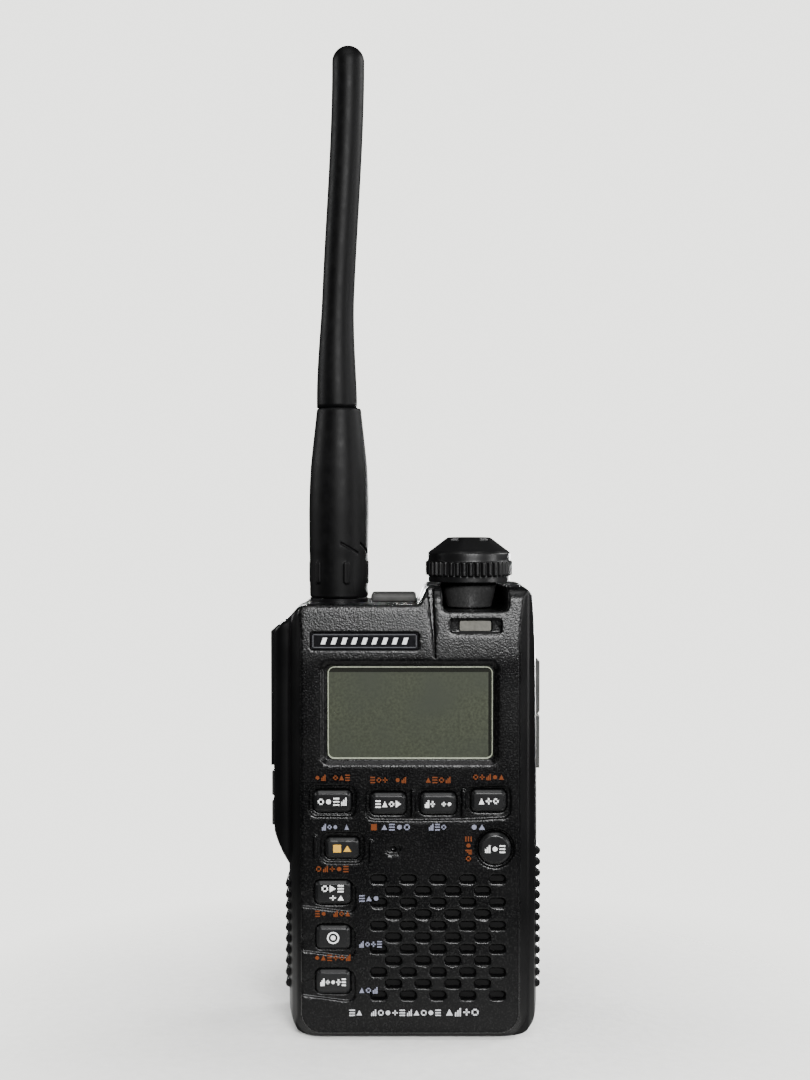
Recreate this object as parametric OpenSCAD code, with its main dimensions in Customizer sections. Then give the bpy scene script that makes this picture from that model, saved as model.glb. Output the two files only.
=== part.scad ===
// Compact handheld two-way radio with a flexible antenna.
// Frame: X across the width, Y front to back with the face towards -Y, Z up.
// The origin is the centre of the flat base.

/* [Body] */
// Width of the body without the side panel
body_w = 43.9; // [43.4:0.1:44.8]
// Depth of the body, front face to back
body_d = 23; // [22.5:0.5:26]
// Width of the raised front face
face_w = 37.8; // [37:0.1:38.4]
// Thickness of the case walls
wall = 1.5; // [1.3:0.1:1.6]
// Height that the key tops stand above the face
key_proud = 0.5; // [0.3:0.1:0.8]

/* [Antenna] */
// Length of the antenna above its collar
antenna_l = 97.9; // [80:0.1:120]
// Radius of the whip along its straight part
whip_r = 2.88; // [2.4:0.02:3.2]
// Sideways set of the whip's tip
whip_bend = 1.7; // [0:0.1:3]

/* [Controls] */
// Travel of the front keys
key_travel = 0.4; // [0.2:0.05:0.45]
// Outside radius of the knurled ring of the dial knob
knob_r = 7.8; // [7.4:0.05:8]
// Number of knurls around the dial knob
knurls = 40; // [24:4:60]
// Length of a speaker slot
slot_w = 2.7; // [1.8:0.1:3]

/* [Hidden] */
$fn = 64;

eps = 0.01;
gap = 0.1;                    // ordinary clearance between separate pieces
half_w = body_w / 2;
front_y = -body_d / 2;
back_y = body_d / 2;
wall_y = front_y + wall;      // inside of the front wall
seam_y = -1;                  // middle of the seal between the two case halves
seal_t = 0.4;
face_mid = -0.48;             // the face sits a little left of the body's middle
face_l = face_mid - face_w / 2;
face_r = face_mid + face_w / 2;
corner_r = 5;                 // lower corners of the body
edge_r = 2;                   // rounding seen from the side
top_r = 3;                    // the same above the leaning face

left_top = 75.2;              // top of the body on the antenna side
right_top = 78.5;             // top of the housing around the dial
wing_x = -24.7;               // outside of the side panel with the talk button
cavity_x = half_w - wall - 0.35;
cavity_z0 = 1.8;
cavity_z1 = 72.4;             // inside of the top wall
pocket_z = 74.1;              // floor of the pocket below the dial

ant_x = -13.17;
foot_z = 76;                  // underside of the antenna's rubber boot
boot_l = 33.6;                // length of the boot
dial_x = 10.05;
pocket_r = 5.65;
band_z = right_top + 0.3;     // underside of the dial knob's wide band
notch = [5.1, 16.4];          // front opening of the dial's pocket, left and right
jack_x = -3.4;
audio_r = 1.8;                // bore for a 3.5 mm plug

// upright sizes of the front layout: [left, right, bottom, top]
lcd_zone = [-14.7, 13.7, 48.65, 64.6];
lcd_bezel = [-16.25, 15.7, 47.7, 65.75];
plate_zone = [-17.7, 1, 67.5, 70.5];
lens_zone = [8, 13.5, 70.7, 72.5];
lens_recess = [6.45, 15.3, 70.4, 72.8];

// front keys: [left, right, bottom, top, corner radius]
key_a = [-17.1, -10.65, 39.55, 43.3, 0.95];
key_b = [-7.3, -1.25, 39.15, 42.9, 0.95];
key_c = [1.25, 7.4, 39.15, 42.9, 0.95];
key_d = [10, 16, 39.65, 43.4, 0.95];
key_e = [-15.1, -9.3, 31.5, 35.15, 0.95];
key_f = [11.3, 16.9, 30.45, 36.05, 2.75];
key_g = [-16.9, -10.75, 23.6, 27.7, 1];
key_h = [-16.7, -10.85, 15.8, 19.95, 1];
key_i = [-16.7, -10.85, 8.1, 12.3, 1];
FRONT_KEYS = [key_a, key_b, key_c, key_d, key_e, key_f, key_g, key_h, key_i];
key_fit = 0.15;               // clearance around a key in its hole
recess_d = 0.5;               // depth of the moulded recesses
flange_y0 = wall_y + gap;
flange_t = 0.5;

mic = [-3.4, 33.05];
slot_h = 1.36;
slot_dx = 5.13;               // spacing of the speaker slots across
slot_dz = 4.04;               // spacing of the speaker slots up
slot_x0 = -5.96;
slot_z0 = 7.7;
spk = [4.3, 17.8];
spk_r = 12;

rib_r = 0.75;                 // grip ribs down both lower sides
rib_dz = 1.95;
rib_z0 = 8.4;
rib_half_y = 6.5;

board_y = front_y + 3.7;      // front of the control board
mat_y = flange_y0 + flange_t + key_travel + gap;
screw_r = 1;
SCREWS = [[-16.6, 4], [16.6, 4], [-17.9, 68.4], [17.9, 68.4]];
screw_head_y = back_y - 2.5;

bay = [-17.6, 17.6, 6, 54.4]; // battery bay
bay_y = 3.8;
lid_t = 1.5;
lid_y = back_y - lid_t / 2;   // middle of the battery cover and its hinge axis
lid_axis_z = 53.5;
contact_z = 52;               // height of the battery's contact springs
upper_z = 56.2;               // floor of the space above the battery bay

ptt_zone = [46.5, 70.2];      // heights of the talk button
monitor_zone = [40.8, 45.2];
power_zone = [35.5, 39.9];
button_x = -25.05;            // outside of the side buttons
ptt_half_y = 4;
button_half_y = 2.5;

dc_zone = [55.5, 64.8];       // heights of the power jack's cover
anchor_zone = [45.9, 55.2];
dc_z = 60.2;
cap_out = 22.4;               // outside of the covers on the right side
cap_t = 1.5;
cap_half_y = 3.8;

function arc(cx, cy, r, a0, a1, n = 6) =
    [for (i = [0:n]) let (a = a0 + (a1 - a0) * i / n) [cx + r * cos(a), cy + r * sin(a)]];

function round_rect(x0, x1, z0, z1, r) = concat(
    arc(x1 - r, z0 + r, r, -90, 0), arc(x1 - r, z1 - r, r, 0, 90),
    arc(x0 + r, z1 - r, r, 90, 180), arc(x0 + r, z0 + r, r, 180, 270));

function ease(t) = let (u = min(1, max(0, t))) u * u * (3 - 2 * u);

// outline seen from the front
function front_outline() = concat(
    arc(-half_w + corner_r, corner_r, corner_r, 270, 180),
    [[-half_w, 29.6], [wing_x, 35.6], [wing_x, 70]],
    arc(wing_x + 1.6, 70, 1.6, 180, 125, 3),
    [[-21, 73.4], [-19.2, left_top - 0.3], [-18.4, left_top]],
    [[0.7, left_top], [2.4, right_top - 0.4], [3.2, right_top]],
    arc(half_w - 3.9, right_top - 3, 3, 90, 12, 5),
    [[half_w - 0.6, 70.5], [half_w - 0.3, 62], [half_w, 40]],
    arc(half_w - corner_r, corner_r, corner_r, 0, -90));

// outline seen from above, where the front face is narrower than the body
function top_outline() = concat(
    [[face_l, front_y], [-half_w + 1.1, front_y + 4.6], [-half_w - 0.4, front_y + 5.4]],
    arc(wing_x + 1.8, front_y + 7.6, 1.8, 240, 180, 4),
    arc(wing_x + 1.8, 4.2, 1.8, 180, 90, 4),
    [[-half_w, 6.4]],
    arc(-half_w + 4, back_y - 4, 4, 180, 90),
    arc(half_w - 4, back_y - 4, 4, 90, 0),
    [[half_w, front_y + 6], [half_w - 0.5, front_y + 3.6], [half_w - 1.7, front_y + 1.3]],
    [[face_r, front_y]]);

// outline seen from the side, with the face leaning back above the display
function side_outline() = concat(
    arc(front_y + edge_r, edge_r, edge_r, 270, 180),
    [[front_y, 66]],
    arc(front_y + 1.1 + top_r, right_top - top_r, top_r, 180, 90),
    arc(back_y - edge_r, right_top - edge_r, edge_r, 90, 0),
    arc(back_y - edge_r, edge_r, edge_r, 0, -90));

module extrude_y(points, y0, y1) {
    translate([0, y1, 0])
        rotate([90, 0, 0])
            linear_extrude(y1 - y0)
                polygon(points);
}

module extrude_x(points, x0, x1) {
    translate([x0, 0, 0])
        rotate([90, 0, 90])
            linear_extrude(x1 - x0)
                polygon(points);
}

// upright plate: zone is [left, right, bottom, top]
module plate(zone, y0, y1, r = 0.5, grow = 0) {
    extrude_y(round_rect(zone[0] - grow, zone[1] + grow, zone[2] - grow, zone[3] + grow, r + grow), y0, y1);
}

module box(x0, x1, y0, y1, z0, z1) {
    translate([x0, y0, z0])
        cube([x1 - x0, y1 - y0, z1 - z0]);
}

module rod_y(x, z, r, y0, y1) {
    translate([x, y1, z])
        rotate([90, 0, 0])
            cylinder(h = y1 - y0, r = r);
}

module rod_z(x, y, r, z0, z1) {
    translate([x, y, z0])
        cylinder(h = z1 - z0, r = r);
}

module rod_x(y, z, r, x0, x1) {
    translate([x0, y, z])
        rotate([0, 90, 0])
            cylinder(h = x1 - x0, r = r);
}

module case_block() {
    intersection() {
        extrude_y(front_outline(), front_y, back_y);
        linear_extrude(right_top)
            polygon(top_outline());
        extrude_x(side_outline(), wing_x - 1, half_w + 1);
    }
}

module grip_ribs() {
    for (i = [0:9])
        rod_y(-half_w + rib_r - 0.45, rib_z0 + i * rib_dz, rib_r, -rib_half_y, rib_half_y);
    for (i = [0:12])
        rod_y(half_w - rib_r + 0.45, rib_z0 + i * rib_dz, rib_r, -rib_half_y, rib_half_y);
}

// everything cut from both halves of the case
module case_openings() {
    rod_z(dial_x, 0, pocket_r, pocket_z, right_top + 1);
    box(notch[0], notch[1], front_y - 1, 0, pocket_z, right_top + 1);
    rod_z(dial_x, 0, 3.05, cavity_z1 - 1, pocket_z + 1);
    rod_z(ant_x, 0, 3.3, cavity_z1 - 1, left_top + 1);
    rod_z(jack_x, 0, 2.75, cavity_z1 - 1, left_top + 1);
    box(wing_x - 1, -cavity_x + 1.3, -ptt_half_y - gap, ptt_half_y + gap,
        ptt_zone[0] - gap, ptt_zone[1] + gap);
    for (zone = [monitor_zone, power_zone])
        box(wing_x - 1, -cavity_x + 1, -button_half_y - gap, button_half_y + gap,
            zone[0] - gap, zone[1] + gap);
    box(cap_out - cap_t - gap, cap_out + 1, -cap_half_y - gap, cap_half_y + gap,
        anchor_zone[0] - gap, dc_zone[1] + gap);
    rod_x(0, dc_z, 3.3, cavity_x - 1, cap_out + 1);
}

module case_half(y0, y1) {
    difference() {
        union() {
            intersection() {
                case_block();
                box(-40, 40, y0, y1, -1, 100);
            }
            intersection() {
                grip_ribs();
                box(-40, 40, y0, y1, -1, 100);
            }
        }
        case_openings();
    }
}

module key_holes() {
    for (k = FRONT_KEYS)
        plate(k, front_y - 1, wall_y + 1, k[4], key_fit);
}

module face_recesses() {
    floor_y = front_y + recess_d;
    plate(lcd_bezel, front_y - 1, floor_y, 1.2);
    plate(plate_zone, front_y - 1, floor_y + 0.6, 0.4);
    plate(lens_recess, front_y - 1, floor_y + 0.6, 0.5);
    plate(key_a, front_y - 1, floor_y, 1, 0.9);
    plate([key_b[0], key_d[1], key_b[2], key_d[3]], front_y - 1, floor_y, 1, 0.9);
    plate(key_e, front_y - 1, floor_y, 1, 0.9);
    for (k = [key_g, key_h, key_i])
        plate(k, front_y - 1, floor_y, 1, 0.5);
    rod_y((key_f[0] + key_f[1]) / 2, (key_f[2] + key_f[3]) / 2, 3.4, front_y - 1, floor_y);
}

module speaker_slots(y0, y1) {
    for (row = [0:5], col = [0:4])
        one_slot(slot_x0 + col * slot_dx, slot_z0 + row * slot_dz, y0, y1);
    for (row = [0:4], col = [0:3])
        one_slot(slot_x0 + (col + 0.5) * slot_dx, slot_z0 + (row + 0.5) * slot_dz, y0, y1);
}

module one_slot(x, z, y0, y1) {
    r = slot_h / 2;
    h = slot_w / 2 - r;
    extrude_y(concat(arc(x + h, z, r, -90, 90, 4), arc(x - h, z, r, 90, 270, 4)), y0, y1);
}

module front_case() {
    color("#1c1c1d")
    difference() {
        union() {
            difference() {
                case_half(front_y, seam_y - seal_t / 2);
                box(-cavity_x, cavity_x, wall_y, 0, cavity_z0, cavity_z1);
            }
            for (s = SCREWS)
                rod_y(s[0], s[1], 1.9, wall_y - eps, seam_y - seal_t / 2);
        }
        for (s = SCREWS)
            rod_y(s[0], s[1], screw_r + 0.05, wall_y + 1, 0);
        face_recesses();
        key_holes();
        plate(lcd_zone, front_y, wall_y + 1, 0.7);
        plate(lens_zone, front_y, wall_y + 2, 0.4);
        rod_y(mic[0], mic[1], 0.75, front_y - 1, wall_y + 1);
        speaker_slots(front_y - 1, wall_y + 1);
    }
}

module rear_chassis() {
    color("#1f1f20")
    difference() {
        union() {
            difference() {
                case_half(seam_y + seal_t / 2, back_y);
                box(-cavity_x, cavity_x, -2, 2.2, cavity_z0, upper_z + 1);
                box(-cavity_x, cavity_x, -2, back_y - 1.8, upper_z, cavity_z1);
            }
            for (s = SCREWS)
                rod_y(s[0], s[1], 1.9, seam_y + seal_t / 2, s[1] > 30 ? back_y - 1 : 3);
        }
        for (s = SCREWS) {
            rod_y(s[0], s[1], screw_r + 0.15, -2, back_y + 1);
            rod_y(s[0], s[1], 1.85, screw_head_y, back_y + 1);
        }
        box(bay[0], bay[1], bay_y, back_y + 1, bay[2], lid_axis_z);
        box(bay[0], bay[1], bay_y, back_y - 2.4, bay[2], bay[3]);
        rod_x(lid_y, lid_axis_z, lid_t / 2 + 0.15, bay[0], bay[1]);
        box(bay[0], bay[1], lid_y, back_y + 1, lid_axis_z - 1, lid_axis_z + lid_t / 2 + 0.15);
        rod_x(lid_y, lid_axis_z, 0.55, bay[0] - 1.3, bay[1] + 1.3);
        for (i = [-1:1])
            box(i * 4 - 0.6, i * 4 + 0.6, 1, bay_y + 1, contact_z - 0.1, contact_z + 0.5);
    }
}

module case_gasket() {
    zone = [-cavity_x - 0.95, cavity_x + 0.95, cavity_z0 - 1, cavity_z1 + 1.1];
    color("#0d0d0d")
    difference() {
        intersection() {
            plate(zone, seam_y - seal_t / 2, seam_y + seal_t / 2, 3);
            case_block();
        }
        plate(zone, -5, 5, 2.2, -0.85);
        for (s = SCREWS)
            rod_y(s[0], s[1], 2.1, -5, 5);
        case_openings();
    }
}

module case_screws() {
    color("#8a8c90")
    for (s = SCREWS) {
        difference() {
            union() {
                rod_y(s[0], s[1], screw_r, wall_y + 1.3, screw_head_y + 0.2);
                rod_y(s[0], s[1], 1.75, screw_head_y + 0.1, screw_head_y + 1.3);
            }
            for (turn = [0, 90])
                translate([s[0], screw_head_y + 1.3, s[1]])
                    rotate([0, turn, 0])
                        cube([2.1, 1.2, 0.45], center = true);
        }
    }
}

module name_plate() {
    color("#3a3b3d")
        plate(plate_zone, front_y + 0.75, front_y + 1.05, 0.3, -0.1);
}

module lcd_window() {
    color("#7d8476")
    union() {
        plate(lcd_zone, front_y + 0.65, wall_y + 0.1, 0.65, -0.05);
        plate(lcd_zone, wall_y + 0.05, wall_y + 0.55, 0.7, 0.7);
    }
}

module lcd_module() {
    color("#8e9686")
        plate(lcd_zone, wall_y + 0.6, wall_y + 1.5, 0.3, 1.25);
}

module lcd_light_guide() {
    color("#e8ead8")
        plate(lcd_zone, wall_y + 1.55, board_y - 0.15, 0.3, 1.1);
}

module keypad_mat() {
    color("#303032")
    difference() {
        plate([-18.8, 18.3, 3, 45.8], mat_y, mat_y + 0.5, 1);
        rod_y(spk[0], spk[1], spk_r + 0.4, -30, 10);
        rod_y(mic[0], mic[1], 2.6, -30, 10);
        for (s = SCREWS)
            rod_y(s[0], s[1], 2.2, -30, 10);
    }
}

module dome_sheet() {
    color("#c9b36a")
    for (k = FRONT_KEYS) {
        x = (k[0] + k[1]) / 2;
        z = (k[2] + k[3]) / 2;
        rod_y(x, z, 1.7, board_y - 0.25, board_y - 0.05);
    }
}

module front_key(k) {
    union() {
        plate(k, front_y - key_proud + 0.35, flange_y0 + 0.1, k[4]);
        plate(k, front_y - key_proud, flange_y0, k[4], -0.3);
        plate(k, flange_y0, flange_y0 + flange_t, k[4], 0.45);
    }
}

module key_mode() {
    color("#2b2c2e")
        front_key(key_a);
}

module key_band() {
    color("#2b2c2e")
        front_key(key_b);
}

module key_level() {
    color("#2b2c2e")
        front_key(key_c);
}

module key_memory() {
    color("#2b2c2e")
        front_key(key_d);
}

module key_function() {
    color("#2b2c2e")
        front_key(key_e);
}

module key_volume() {
    color("#2b2c2e")
        front_key(key_f);
}

module key_home() {
    color("#2b2c2e")
        front_key(key_g);
}

module key_link() {
    color("#2b2c2e")
        front_key(key_h);
}

module key_tuner() {
    color("#2b2c2e")
        front_key(key_i);
}

module control_board() {
    color("#1f5f3a")
    difference() {
        plate([-16.3, 18.2, 2.6, 69], board_y, board_y + 0.8, 1);
        rod_y(spk[0], spk[1], spk_r + 0.4, -30, 10);
        for (s = SCREWS)
            rod_y(s[0], s[1], 2.2, -30, 10);
    }
}

module main_board() {
    color("#1f5f3a")
    difference() {
        plate([-16.3, 18.2, 2.6, 62.5], -4.4, -3.4, 1);
        for (s = SCREWS)
            rod_y(s[0], s[1], 2.2, -30, 10);
    }
}

module rf_shield() {
    color("#b9bcc0")
    difference() {
        box(-14, 9, -3.35, 1.6, 20, 52);
        box(-13.7, 8.7, -3.36, 1.3, 20.3, 51.7);
    }
}

module board_connector() {
    color("#e6dfc8")
        box(-13, -9, board_y + 0.85, -4.45, 40, 48);
}

module speaker() {
    color("#4a4a4c")
    union() {
        rod_y(spk[0], spk[1], spk_r, wall_y + 0.35, wall_y + 1.9);
        rod_y(spk[0], spk[1], spk_r * 0.62, wall_y + 1.8, wall_y + 4.2);
    }
}

module speaker_net() {
    color("#202022")
        plate([-7.6, 16.2, 6.2, 29.4], wall_y + 0.05, wall_y + 0.25, 1);
}

module microphone() {
    color("#c0c2c6")
        rod_y(mic[0], mic[1], 1.9, wall_y + 0.3, wall_y + 1.8);
}

module mic_holder() {
    color("#151515")
    difference() {
        rod_y(mic[0], mic[1], 2.45, wall_y + 0.05, wall_y + 1.9);
        rod_y(mic[0], mic[1], 1.95, wall_y + 0.3, wall_y + 3);
        rod_y(mic[0], mic[1], 0.75, wall_y - 1, wall_y + 3);
    }
}

module indicator_lens() {
    color("#2c2624")
    union() {
        plate(lens_zone, front_y + 1.1, wall_y + 1.2, 0.35, -0.05);
        box(lens_zone[0] - 0.5, lens_zone[1] + 0.5, wall_y + 1.1, wall_y + 1.6, 70.4, 72);
    }
}

module indicator_led() {
    color("#d8d2b0")
        box(9.9, 11.6, wall_y + 1.7, board_y - 0.1, 67.4, 68.8);
}

module encoder_body() {
    color("#2e6b52")
    difference() {
        union() {
            box(dial_x - 4.8, dial_x + 4.8, -5.2, 5.2, 64, cavity_z1 - 0.1);
            rod_z(dial_x, 0, 2.95, cavity_z1 - 0.2, 76.6);
        }
        rod_z(dial_x, 0, 1.6, 66, 80);
    }
}

module encoder_shaft() {
    color("#a9abb0")
    difference() {
        rod_z(dial_x, 0, 1.5, 66.2, 84.4);
        box(dial_x - 2, dial_x + 2, -2, -0.9, 77.4, 90);
    }
}

module dial_knob() {
    color("#232324")
    difference() {
        translate([dial_x, 0, 0])
            rotate_extrude()
                polygon([[0, 74.35], [4.05, 74.35], [4.9, 78.2], [5.1, band_z],
                    [knob_r - 0.6, band_z], [knob_r - 0.5, band_z + 0.1],
                    [knob_r - 0.5, 79.9], [knob_r, 80.1], [knob_r, 82.2], [knob_r - 0.4, 82.5],
                    [knob_r - 0.4, 84], [6.85, 84.4], [3.97, 86.65], [0, 86.65]]);
        rod_z(dial_x, 0, 3.25, 74, 77.1);
        difference() {
            rod_z(dial_x, 0, 1.55, 74, 84.6);
            box(dial_x - 2, dial_x + 2, -2, -0.95, 77.6, 90);
        }
        for (i = [0:knurls - 1])
            translate([dial_x, 0, 0])
                rotate([0, 0, i * 360 / knurls])
                    rod_z(knob_r + 0.12, 0, 0.35, 79.95, 82.35);
    }
}

module sma_connector() {
    color("#c8a24a")
    difference() {
        union() {
            box(ant_x - 4.4, ant_x + 4.4, -4, 4, cavity_z1 - 1.6, cavity_z1 - 0.1);
            rod_z(ant_x, 0, 3.15, cavity_z1 - 0.2, foot_z + 5.6);
            rod_z(ant_x, 0, 0.6, 65, cavity_z1 - 1.5);
        }
        rod_z(ant_x, 0, 2.3, foot_z + 0.5, foot_z + 6);
        rod_z(ant_x, 0, 0.52, cavity_z1 + 0.6, foot_z + 6);
    }
}

module antenna_collar() {
    color("#242425")
    difference() {
        rod_z(ant_x, 0, 5.2, left_top + 0.02, foot_z - 0.1);
        rod_z(ant_x, 0, 3.3, left_top - 5, foot_z + 3);
    }
}

module antenna_seal() {
    color("#0d0d0d")
    difference() {
        rod_z(ant_x, 0, 4.3, foot_z + 0.05, foot_z + 0.55);
        rod_z(ant_x, 0, 3.3, foot_z - 5, foot_z + 3);
    }
}

module antenna_plug() {
    color("#c8a24a")
    union() {
        difference() {
            rod_z(ant_x, 0, 4.2, foot_z + 0.7, foot_z + 11);
            rod_z(ant_x, 0, 3.2, foot_z, foot_z + 6);
        }
        rod_z(ant_x, 0, 0.46, foot_z - 1.6, foot_z + 6.2);
        rod_z(ant_x, 0, 0.8, foot_z + 10.5, foot_z + 29);
    }
}

module antenna_boot() {
    color("#19191a")
    union() {
        difference() {
            translate([ant_x, 0, foot_z])
                rotate_extrude()
                    polygon([[0, 0], [5.14, 0], [5.25, 0.3], [5.25, 6.8], [5.33, 8.2], [5.36, 15.5],
                        [5.25, 19.3], [5.07, 22.9], [4.73, 26.3], [4.32, 29.9], [3.87, boot_l],
                        [0, boot_l]]);
            rod_z(ant_x, 0, 4.35, foot_z - 1, foot_z + 0.65);
            rod_z(ant_x, 0, 4.25, foot_z, foot_z + 11.1);
            rod_z(ant_x, 0, 3.25, foot_z + 10, foot_z + boot_l + 1);
        }
        for (i = [0:5])
            translate([ant_x, 0, foot_z])
                rotate([0, 0, 60 * i + 47])
                    rod_z(4.95, 0, 0.5, 2.3, 6.9);
    }
}

function whip_x(z) = ant_x - 0.4 * ease((z - 90) / 27) + (whip_bend + 0.4) * ease((z - 117) / 54);
function whip_radius(z) = whip_r + 0.75 * (1 - ease((z - foot_z - boot_l) / 20));

module antenna_whip() {
    root_z = foot_z + boot_l + 0.1;
    top_z = foot_z + antenna_l - whip_r;
    steps = 8;
    color("#19191a")
    difference() {
        union() {
            rod_z(ant_x, 0, 3.15, foot_z + 11.3, root_z + 0.1);
            for (i = [0:steps - 1])
                hull() {
                    whip_slice(root_z + (top_z - root_z) * i / steps);
                    whip_slice(root_z + (top_z - root_z) * (i + 1) / steps);
                }
            hull() {
                whip_slice(top_z);
                translate([whip_x(top_z), 0, top_z])
                    sphere(r = whip_r, $fn = 32);
            }
        }
        rod_z(ant_x, 0, 0.9, foot_z, foot_z + 29.2);
    }
}

module whip_slice(z) {
    translate([whip_x(z), 0, z - 0.05])
        cylinder(h = 0.1, r = whip_radius(z), $fn = 32);
}

module audio_jack() {
    color("#242426")
    difference() {
        union() {
            box(jack_x - 3.4, jack_x + 3.4, -3.2, 3.2, 59.5, cavity_z1 - 0.1);
            rod_z(jack_x, 0, 2.65, cavity_z1 - 0.2, left_top - 0.3);
        }
        rod_z(jack_x, 0, audio_r, 61, left_top + 1);
    }
}

// flat rubber cover, drawn lying along +X from its rolled hinge edge
module rubber_cover(length, width, t) {
    union() {
        rod_y(0, 0, t / 2, -width / 2, width / 2);
        box(0, length - t / 2, -width / 2, width / 2, -t / 2, t / 2);
    }
}

module audio_cap() {
    color("#3c3d40")
        translate([jack_x, 3.3, left_top + 0.85])
            rotate([0, 0, -90])
                rubber_cover(8, 8, 1.5);
}

module dc_jack() {
    color("#242426")
    difference() {
        union() {
            box(11.6, cavity_x - 0.1, -3.3, 3.3, dc_z - 3.4, dc_z + 3.4);
            rod_x(0, dc_z, 3.1, cavity_x - 0.2, 20.5);
        }
        difference() {
            rod_x(0, dc_z, 2, 13, 22);
            rod_x(0, dc_z, 0.8, 12, 19.5);
        }
    }
}

module dc_cap() {
    color("#28282a")
        translate([cap_out - cap_t / 2, 0, dc_zone[0] + cap_t / 2])
            rotate([0, -90, 0])
                rubber_cover(dc_zone[1] - dc_zone[0], 2 * cap_half_y, cap_t);
}

module dc_cap_anchor() {
    color("#28282a")
        box(cap_out - cap_t, cap_out, -cap_half_y, cap_half_y, anchor_zone[0], anchor_zone[1]);
}

module side_button(zone, half_y, flange_zone) {
    union() {
        box(button_x, -cavity_x - 0.5, -half_y, half_y, zone[0], zone[1]);
        box(-cavity_x - 0.6, -cavity_x + 0.3, -1.2, 1.2, flange_zone[0], flange_zone[1]);
        box(-cavity_x + 0.1, -cavity_x + 0.5, -half_y + 0.4, half_y - 0.4,
            flange_zone[0], flange_zone[1]);
    }
}

module ptt_button() {
    color("#202021")
    union() {
        side_button(ptt_zone, ptt_half_y, [ptt_zone[0] + 1.2, 64.8]);
        for (i = [0:2])
            rod_y(button_x + 0.1, 61.3 + 1.4 * i, 0.25, -2, 2);
    }
}

module monitor_button() {
    color("#2a2a2c")
        side_button(monitor_zone, button_half_y, [monitor_zone[0] + 0.8, monitor_zone[1] - 0.8]);
}

module power_button() {
    color("#2a2a2c")
        side_button(power_zone, button_half_y, [power_zone[0] + 0.8, power_zone[1] - 0.8]);
}

module side_switches() {
    color("#b5b7ba")
    for (z = [56, 43, 37.7])
        box(-18.6, -17.6, -1.6, 1.6, z - 1.4, z + 1.4);
}

module side_board() {
    color("#1f5f3a")
        box(-17.5, -16.9, -3, 2, 35.4, 62);
}

module battery_pack() {
    color("#3b3f45")
    union() {
        box(-16.8, 16.8, bay_y + 0.3, 9.2, 7.4, contact_z - 1.3);
        for (i = [-1:1])
            box(i * 4 - 1, i * 4 + 1, 5.5, 8, contact_z - 1.4, contact_z - 1.1);
    }
}

module battery_contacts() {
    color("#d8b65a")
    for (i = [-1:1]) {
        box(i * 4 - 0.5, i * 4 + 0.5, 1.7, 6.6, contact_z, contact_z + 0.4);
        box(i * 4 - 0.5, i * 4 + 0.5, 6.2, 6.6, contact_z - 1, contact_z + 0.1);
    }
}

module battery_cover() {
    lid_x = 17.3;
    color("#1f1f20")
    difference() {
        union() {
            rod_x(lid_y, lid_axis_z, lid_t / 2, -lid_x, lid_x);
            rod_x(lid_y, lid_axis_z, 0.5, -lid_x - 1.2, lid_x + 1.2);
            box(-lid_x, lid_x, back_y - lid_t, back_y, bay[2] + 0.3, lid_axis_z);
        }
        box(-4.3, 4.3, back_y - 3, back_y + 1, 7.6, 13.2);
    }
}

module battery_latch() {
    color("#2a2a2c")
    union() {
        box(-4.1, 4.1, back_y - 1.6, back_y - 0.1, 7.8, 11.2);
        box(-5.4, 5.4, back_y - 1.95, back_y - 1.6, 6.5, 12.6);
        for (i = [0:3])
            rod_x(back_y - 0.2, 8.5 + 0.7 * i, 0.2, -3, 3);
    }
}

front_case();
rear_chassis();
case_gasket();
case_screws();
name_plate();
lcd_window();
lcd_module();
lcd_light_guide();
keypad_mat();
dome_sheet();
key_mode();
key_band();
key_level();
key_memory();
key_function();
key_volume();
key_home();
key_link();
key_tuner();
control_board();
main_board();
rf_shield();
board_connector();
speaker();
speaker_net();
microphone();
mic_holder();
indicator_lens();
indicator_led();
encoder_body();
encoder_shaft();
dial_knob();
sma_connector();
antenna_collar();
antenna_seal();
antenna_plug();
antenna_boot();
antenna_whip();
audio_jack();
audio_cap();
dc_jack();
dc_cap();
dc_cap_anchor();
ptt_button();
monitor_button();
power_button();
side_switches();
side_board();
battery_pack();
battery_contacts();
battery_cover();
battery_latch();
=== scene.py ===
"""Looks of the handheld radio: moulded shells, rubber antenna, keys with plain marks, display and light."""

import math

import bpy
import numpy as np
import openvdb as vdb
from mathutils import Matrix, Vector


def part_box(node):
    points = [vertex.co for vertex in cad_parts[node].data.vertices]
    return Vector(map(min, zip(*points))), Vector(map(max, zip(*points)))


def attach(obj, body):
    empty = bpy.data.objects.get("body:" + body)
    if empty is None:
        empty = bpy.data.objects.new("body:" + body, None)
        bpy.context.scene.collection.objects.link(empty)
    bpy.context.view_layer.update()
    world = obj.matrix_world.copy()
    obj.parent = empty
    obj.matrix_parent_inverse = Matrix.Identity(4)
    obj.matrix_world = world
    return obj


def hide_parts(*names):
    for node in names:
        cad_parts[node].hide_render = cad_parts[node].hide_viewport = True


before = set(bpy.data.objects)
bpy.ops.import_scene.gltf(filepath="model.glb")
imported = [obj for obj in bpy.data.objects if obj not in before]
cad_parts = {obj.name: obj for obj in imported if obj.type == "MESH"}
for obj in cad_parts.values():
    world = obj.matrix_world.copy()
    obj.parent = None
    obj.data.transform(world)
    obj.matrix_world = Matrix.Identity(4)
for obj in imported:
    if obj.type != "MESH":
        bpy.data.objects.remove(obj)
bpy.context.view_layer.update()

MM = 0.001
FAR = 100.0


# ---------------------------------------------------------------- places, in millimetres

def zone_of(node):
    """[left, right, bottom, top] of a node seen from the front."""
    lo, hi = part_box(node)
    return [lo.x / MM, hi.x / MM, lo.z / MM, hi.z / MM]


def span(node, axis):
    """Lowest and highest place of a node along x, y or z."""
    lo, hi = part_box(node)
    return getattr(lo, axis) / MM, getattr(hi, axis) / MM


def grown(zone, by):
    return [zone[0] - by, zone[1] + by, zone[2] - by, zone[3] + by]


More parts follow.
